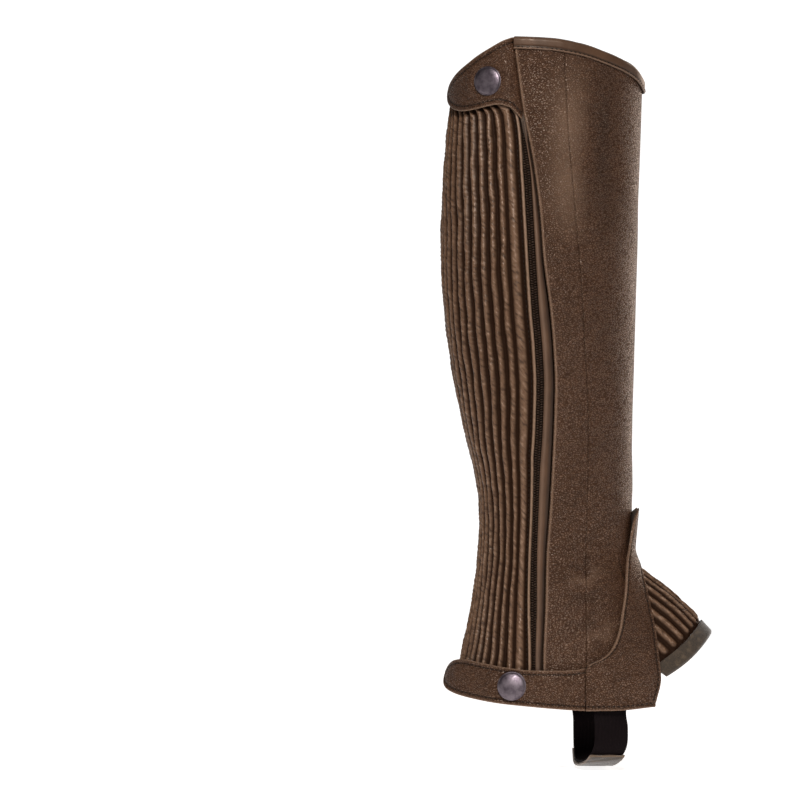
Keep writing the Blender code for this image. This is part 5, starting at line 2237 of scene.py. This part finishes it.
@dataclass
class Binding(Sheet):
    """A folded strip round an edge of the shaft, turned under and stitched along its outer side."""

    start: float = 0.0
    end: float = 0.0
    edge_height: Callable = top_edge
    up: float = 1.0  # 1 where the fold is at the top, -1 where it is at the bottom
    depth: float = 7.4
    row: float = 1.9

    def lines(self) -> tuple[Array, Array]:
        """Lines along the strip, and round its section."""
        return grid_lines(self.width, 1.35), np.linspace(0.0, 1.0, 49)

    def base(self, u: Array, v: Array) -> tuple[Array, Array]:
        """Round the edge, from inside the shaft to outside it."""
        low, high = INNER_FACE - FOLD_GAP - BINDING_WALL, FOLD_GAP + BINDING_WALL
        back, out, bend = folded_strip(v, self.depth, low, high)
        angle = mix(self.start, self.end, u)
        height = self.edge_height(wrapped(angle)) - self.up * back
        places = on_leg(angle, height, out + uneven(wrapped(angle), height))
        normal = leg_normal(angle, height)
        lift = np.zeros(normal.shape)
        lift[..., 2] = self.up
        return places, normal * -np.cos(bend)[..., None] + lift * np.sin(bend)[..., None]

    def own_relief(self, u: Array, v: Array, points: Array) -> Array:
        """A bead at the turned edge, the stitch row's trough, and small drawn puckers."""
        from_edge = run_lengths(points, 1)[1]
        run = run_lengths(points, 0)[0]
        bead = 0.35 * bell(from_edge - 0.8, 0.7) - 0.8 * round_over(from_edge, 0.9)
        trough = 0.42 * bell(from_edge - self.row, 0.6)
        drawn = 0.09 * wander(run / 4.2, 0.5) + 0.16 * wander(run / 15.0, 0.1)
        # painted shade along the stitch row's trough
        self.layers["painted_shade"] = 0.8 * bell(from_edge - self.row, 0.5)
        # the fold's top is lighter from use
        lightened = 0.25 * bell(from_edge - self.depth, 1.6)
        # painted highlight along the bead at the turned edge, with the fold's lighter top
        self.layers["wear"] = np.maximum(0.75 * bell(from_edge - 0.7, 0.7), lightened)
        return bead - trough + drawn

    def sew(self, edges: list[tuple[Edge, Array]]) -> bpy.types.Object | None:
        """Sew the row along the strip's outer side."""
        book = StitchBook(f"{self.name}_stitches")
        distance = run_lengths(self.points, 1)[1]
        line, normals = [], []
        for column in range(4, distance.shape[0] - 4):
            row = distance[column, ::-1]
            place = distance.shape[1] - 1 - np.interp(self.row, row, np.arange(len(row)))
            line.append(read_grid(self.points, (column, place)))
            normals.append(read_grid(self.normals, (column, place)))
        book.sew(np.array(line), unit(np.array(normals)), pitch=2.9)
        return book.make()


# ---- Strap under the boot ----

STRAP_TOP = -258.0
STRAP_FREE = -292.0
STRAP_HUG = 8.0
STRAP_LOWEST = -313.9
STRAP_SPREAD = 35.0
STRAP_OUTER = 42.0
STRAP_INNER = 31.5
STRAP_FULLNESS = 0.72
STRAP_WALL = 1.4  # the elastic's thickness
LOOP_SHARE = 0.72


def strap_line(across: Array, along: Array, out: float) -> Array:
    """Points of the strap.

    Args:
        across: Distance from its middle towards the back.
        along: From -1 at the inner end to 1 at the outer end.
        out: Distance outside the strap's inner face.

    Returns:
        The points.
    """
    x = mix(STRAP_INNER, STRAP_OUTER, ease((along + 0.1) / 0.75)) - across
    turn = np.clip(along / LOOP_SHARE, -1.0, 1.0) * math.pi / 2
    reach = np.copysign(np.abs(np.sin(turn)) ** STRAP_FULLNESS, turn)
    deep = STRAP_FREE - STRAP_LOWEST + out
    low = np.clip(np.cos(turn), 0.0, 1.0) ** STRAP_FULLNESS
    loop = np.stack([x, -reach * (STRAP_SPREAD + out), STRAP_FREE - deep * low], axis=-1)
    climb = np.clip((np.abs(along) - LOOP_SHARE) / (1.0 - LOOP_SHARE), 0.0, 1.0)
    height = mix(STRAP_FREE, STRAP_TOP, climb)
    free = np.stack([x, -np.copysign(STRAP_SPREAD + out, along), height], axis=-1)
    behind_binding = INNER_FACE - FOLD_GAP - BINDING_WALL - SEAM_GAP
    inside = np.where(along > 0, -LEATHER - SEAM_GAP, behind_binding)
    sewn = on_leg(np.copysign(side_angle(x, height), along), height, inside - STRAP_WALL + out)
    end = mix(free, sewn, ease((height - STRAP_FREE) / STRAP_HUG)[..., None])
    return np.where((np.abs(along) <= LOOP_SHARE)[..., None], loop, end)


@dataclass
class StrapPiece(Sheet):
    """The elastic strap, or the wear pad under its lowest stretch."""

    out: float = STRAP_WALL
    reach: float = 1.0
    band: float = 20.0  # width of the strap
    rows: int = 150
    edge_droop: float = 0.25

    def lines(self) -> tuple[Array, Array]:
        """Lines across and along the strap."""
        return grid_lines(self.width, 0.9), np.linspace(0.0, 1.0, self.rows)

    def base(self, u: Array, v: Array) -> tuple[Array, Array]:
        """Where the strap lies."""
        along = mix(-self.reach, self.reach, v)
        across = mix(-self.band / 2.0, self.band / 2.0, u)
        places = strap_line(across, along, self.out)
        inner = strap_line(across, along, 0.0)
        return places, unit(places - inner)

    def own_relief(self, u: Array, v: Array, points: Array) -> Array:
        """Rounded side edges and a little waviness."""
        side = np.minimum(u, 1.0 - u) * self.width
        wave = 0.12 * wander(v * self.length / 6.0, 0.4) * (2.0 * u - 1.0)
        return wave - self.edge_droop * round_over(side, 1.4)


@dataclass
class WearPad(StrapPiece):
    """The suede pad under the strap's lowest stretch, nicked and rubbed along its edges."""

    def own_relief(self, u: Array, v: Array, points: Array) -> Array:
        """A soft swell with edges lighter from use, and a dented fold across it darkened with
        painted shade.
        """
        side = np.minimum(u, 1.0 - u) * self.width
        end = np.minimum(v, 1.0 - v) * self.length
        from_fold = (v - 0.61 - 0.03 * u) * self.length
        fold = 0.5 * bell(from_fold, 1.0)
        lumps = 0.22 * wander(v * self.length / 5.0 + 2.0 * u, 0.9)
        self.layers["wear"] = 0.8 * np.maximum(bell(side, 0.8), bell(end, 0.9))
        # painted shade in the dented fold
        self.layers["painted_shade"] = 0.7 * bell(from_fold, 0.6)
        return lumps - fold - 0.5 * round_over(side, 1.6) - 0.5 * round_over(end, 1.6)


# ---- Camera, lights and floor ----


@dataclass
class Softbox:
    """One soft light, aimed at a point of the chap."""

    name: str
    place: tuple[float, float, float]
    size: tuple[float, float]
    power: float
    aim: tuple[float, float, float] = (0.0, 0.0, -0.09)
    colour: tuple[float, float, float] = (1.0, 1.0, 1.0)

    def hang(self) -> None:
        """Add the light to the scene."""
        light = bpy.data.lights.new(self.name, "AREA")
        light.shape = "RECTANGLE"
        light.size, light.size_y = self.size
        light.energy = self.power
        light.color = self.colour
        lamp = bpy.data.objects.new(self.name, light)
        lamp.location = self.place
        toward = Vector(self.aim) - Vector(self.place)
        lamp.rotation_euler = toward.to_track_quat("-Z", "Y").to_euler()
        bpy.context.scene.collection.objects.link(lamp)


@dataclass
class Studio:
    """The photograph's viewpoint, a flat pale floor, a white surround behind, and soft light."""

    camera_place: tuple[float, float, float] = (-0.0854, -3.0, -0.09455)
    frame_width: float = 0.488  # metres across the picture at the origin's distance
    sensor: float = 36.0
    floor_height: float = -0.3192
    lights: tuple[Softbox, ...] = (
        Softbox("key", (-0.03, -1.4, 0.72), (0.25, 0.4), 23.5, aim=(0.0, 0.0, 0.0)),
        Softbox("fill", (-1.6, -1.2, 0.2), (0.5, 1.4), 1.0),
        Softbox("rim", (0.9, 1.16, 0.0), (0.7, 1.4), 12.0, colour=(1.0, 0.8, 0.66)),
        Softbox("over", (0.0, 1.3, 1.9), (2.0, 1.0), 8.0),
    )
    surround: float = 0.05
    low: float = 0.4  # the surround from the chap's level down
    backdrop: float = 1.15
    glow: float = 0.8  # the floor is a lit table

    def build(self) -> None:
        """Set up camera, lights, surround and floor."""
        scene = bpy.context.scene
        lens = bpy.data.cameras.new("camera")
        lens.sensor_width = self.sensor
        lens.lens = self.sensor * -self.camera_place[1] / self.frame_width
        lens.clip_end = 50.0
        camera = bpy.data.objects.new("camera", lens)
        camera.location = self.camera_place
        camera.rotation_euler = (math.pi / 2, 0.0, 0.0)
        scene.collection.objects.link(camera)
        scene.camera = camera
        for light in self.lights:
            light.hang()
        scene.view_settings.view_transform = "Standard"
        self.light_surround()
        self.lay_floor()

    def light_surround(self) -> None:
        """Make the surround white behind the chap, pale from its level down, and dim above."""
        world = bpy.data.worlds.new("surround")
        bpy.context.scene.world = world
        world.use_nodes = True
        tree = world.node_tree
        sky = tree.nodes["Background"]
        sky.inputs["Color"].default_value = (1.0, 1.0, 1.0, 1.0)
        direction = tree.nodes.new("ShaderNodeTexCoord")
        parts = tree.nodes.new("ShaderNodeSeparateXYZ")
        tree.links.new(direction.outputs["Generated"], parts.inputs[0])
        brighter = tree.nodes.new("ShaderNodeMath")
        brighter.operation = "MAXIMUM"
        ramps = (
            ("Y", 0.88, 0.98, self.surround, self.backdrop),
            ("Z", 0.1, 0.2, self.low, self.surround),
        )
        for slot, (axis, *ends) in enumerate(ramps):
            ramp = tree.nodes.new("ShaderNodeMapRange")
            tree.links.new(parts.outputs[axis], ramp.inputs["Value"])
            for key, value in zip(("From Min", "From Max", "To Min", "To Max"), ends):
                ramp.inputs[key].default_value = value
            tree.links.new(ramp.outputs["Result"], brighter.inputs[slot])
        tree.links.new(brighter.outputs[0], sky.inputs["Strength"])

    def lay_floor(self) -> None:
        """Lay the floor, with a small table of it under and behind the chap."""
        bm = bmesh.new()
        bmesh.ops.create_grid(bm, x_segments=4, y_segments=4, size=0.5)
        stretch = Matrix.Diagonal((1.6, 2.2, 1.0, 1.0))
        place = Matrix.Translation((-0.08, 0.8, self.floor_height))
        bmesh.ops.transform(bm, matrix=place @ stretch, verts=bm.verts)
        mesh = bpy.data.meshes.new("floor")
        bm.to_mesh(mesh)
        bm.free()
        mesh.shade_smooth()
        floor = bpy.data.objects.new("floor", mesh)
        bpy.context.scene.collection.objects.link(floor)
        shader = Shader("pale_floor")
        mottle = shader.stretch(shader.noise(shader.place, 4.0, 2.0), 0.3, 0.7)
        shade = shader.blend(mottle, (0.93, 0.93, 0.93, 1.0), (0.96, 0.96, 0.96, 1.0))
        shader.dress(shade, 0.9)
        shader.surface.inputs["Emission Color"].default_value = (1.0, 1.0, 1.0, 1.0)
        shader.surface.inputs["Emission Strength"].default_value = self.glow
        mesh.materials.append(shader.material)


# ---- The whole chap ----


class HalfChap:
    """The whole half chap, as a list of sheets and hard pieces."""

    def shaft(self) -> list[Sheet]:
        """The panels round the leg."""
        return [
            FrontPanel(
                "front_panel", "main_panel", PEBBLED, LEATHER,
                first=Edge(EdgeForm.TURNED), last=Edge(EdgeForm.SEAM),
                from_seam=inner_seam, to_seam=front_seam, bottom=front_panel_bottom,
            ),
            SidePanel(
                "side_panel_leather", "side_panel", PEBBLED, LEATHER,
                first=Edge(EdgeForm.SEAM), last=Edge(EdgeForm.TURNED), step=1.3,
                from_seam=front_seam, to_seam=side_edge,
            ),
            RibPanel(
                "rib_panel_leather", "rib_panel", PLEATED, LEATHER,
                first=Edge(EdgeForm.TURNED, stitch=3.1), last=Edge(EdgeForm.SEAM),
                from_seam=zip_side, to_seam=lambda height: 360.0 + inner_seam(height),
                rim_only=True, gathered=True,
            ),
            CalfPatch(
                "calf_patch_leather", "calf_patch", PEBBLED, 1.2,
                first=Edge(EdgeForm.CUT, stitch=1.9), rests_on=("front_panel",), held="laid",
                step=1.25,
            ),
        ]

    def build(self) -> None:
        """Make every piece."""
        for sheet in self.shaft():
            sheet.lay()
        TapeStrip("zip_tape_cloth", "zip_tape", TAPE, 1.0).lay()
        ZipTeeth().make()
        Placket(
            "placket_bead", "placket", SMOOTH, 1.2,
            from_seam=lambda height: side_edge(height) + gap_angle(0.8, height),
            to_seam=placket_edge, top=lambda angle: 79.0,
        ).lay()
        Slider().make()
        TopTab(
            "top_tab_leather", "top_tab", PEBBLED, LEATHER,
            last=Edge(EdgeForm.CUT, stitch=3.0), step=0.95, tuck=3.0,
            table=TOP_TAB, snap=TOP_SNAP, held="laid", rests_on=("rib_panel_leather",),
        ).lay()
        AnkleTab(
            "ankle_tab_leather", "ankle_tab", PEBBLED, LEATHER,
            first=Edge(EdgeForm.SEAM), last=Edge(EdgeForm.CUT, stitch=2.6), step=0.95,
            table=ANKLE_TAB, snap=ANKLE_SNAP, held="laid", rests_on=("rib_panel_leather",),
        ).lay()
        Snap("top_snap_cap", "top_snap", TOP_SNAP).make()
        Snap("ankle_snap_cap", "ankle_snap", ANKLE_SNAP).make()
        Flap(
            "outer_flap_leather", "outer_flap", PEBBLED, LEATHER,
            first=Edge(EdgeForm.CUT, stitch=2.4),
            last=Edge(EdgeForm.TURNED, stitch=2.6, start=0.13),
            lower=Edge(EdgeForm.CUT, stitch=2.6), step=1.1, side=Side.OUTER, sewn_below=-255.6,
            held="laid", rests_on=("front_panel",),
        ).lay()
        Flap(
            "inner_flap_leather", "inner_flap", PEBBLED, LEATHER,
            first=Edge(EdgeForm.CUT, stitch=2.4), last=Edge(EdgeForm.TURNED, stitch=2.6),
            step=1.1, side=Side.INNER, foot=-270.6, held="laid", rests_on=("front_panel",),
        ).lay()
        Gusset("gusset_leather", "gusset", PLEATED, GUSSET_WALL, gathered=True).lay()
        GussetBand("gusset_band_suede", "gusset_band", SUEDE, 1.0, back=SUEDE, rim=SUEDE).lay()
        Binding(
            "top_binding_leather", "top_binding", SMOOTH, 1.0,
            start=float(rib_edge(112.0) - 360.0 + gap_angle(8.0, 112.0)),
            end=float(side_edge(118.0) - gap_angle(SEAM_GAP, 118.0)),
            edge_height=top_edge, up=1.0, depth=7.9,
        ).lay()
        Binding(
            "hem_binding_leather", "hem_binding", SMOOTH, 1.0,
            start=float(rib_edge(-268.0) - 360.0 + gap_angle(8.0, -268.0)),
            end=-float(instep_angle(-279.0)), edge_height=hem_edge, up=-1.0, depth=8.6,
        ).lay()
        StrapPiece(
            "foot_strap_elastic", "foot_strap", ELASTIC, STRAP_WALL, back=ELASTIC, rim=ELASTIC,
        ).lay()
        WearPad(
            "strap_pad_suede", "strap_pad", SUEDE, 2.0,
            out=STRAP_WALL + SEAM_GAP + LEATHER, reach=0.42, band=21.5, rows=90,
            back=SUEDE, rim=SUEDE,
            rests_on=("foot_strap_elastic",), held="laid",
        ).lay()


def main() -> None:
    """Build the studio and the chap."""
    logging.basicConfig(level=logging.INFO, format="%(message)s")
    Studio().build()
    HalfChap().build()


if __name__ == "__main__":
    main()
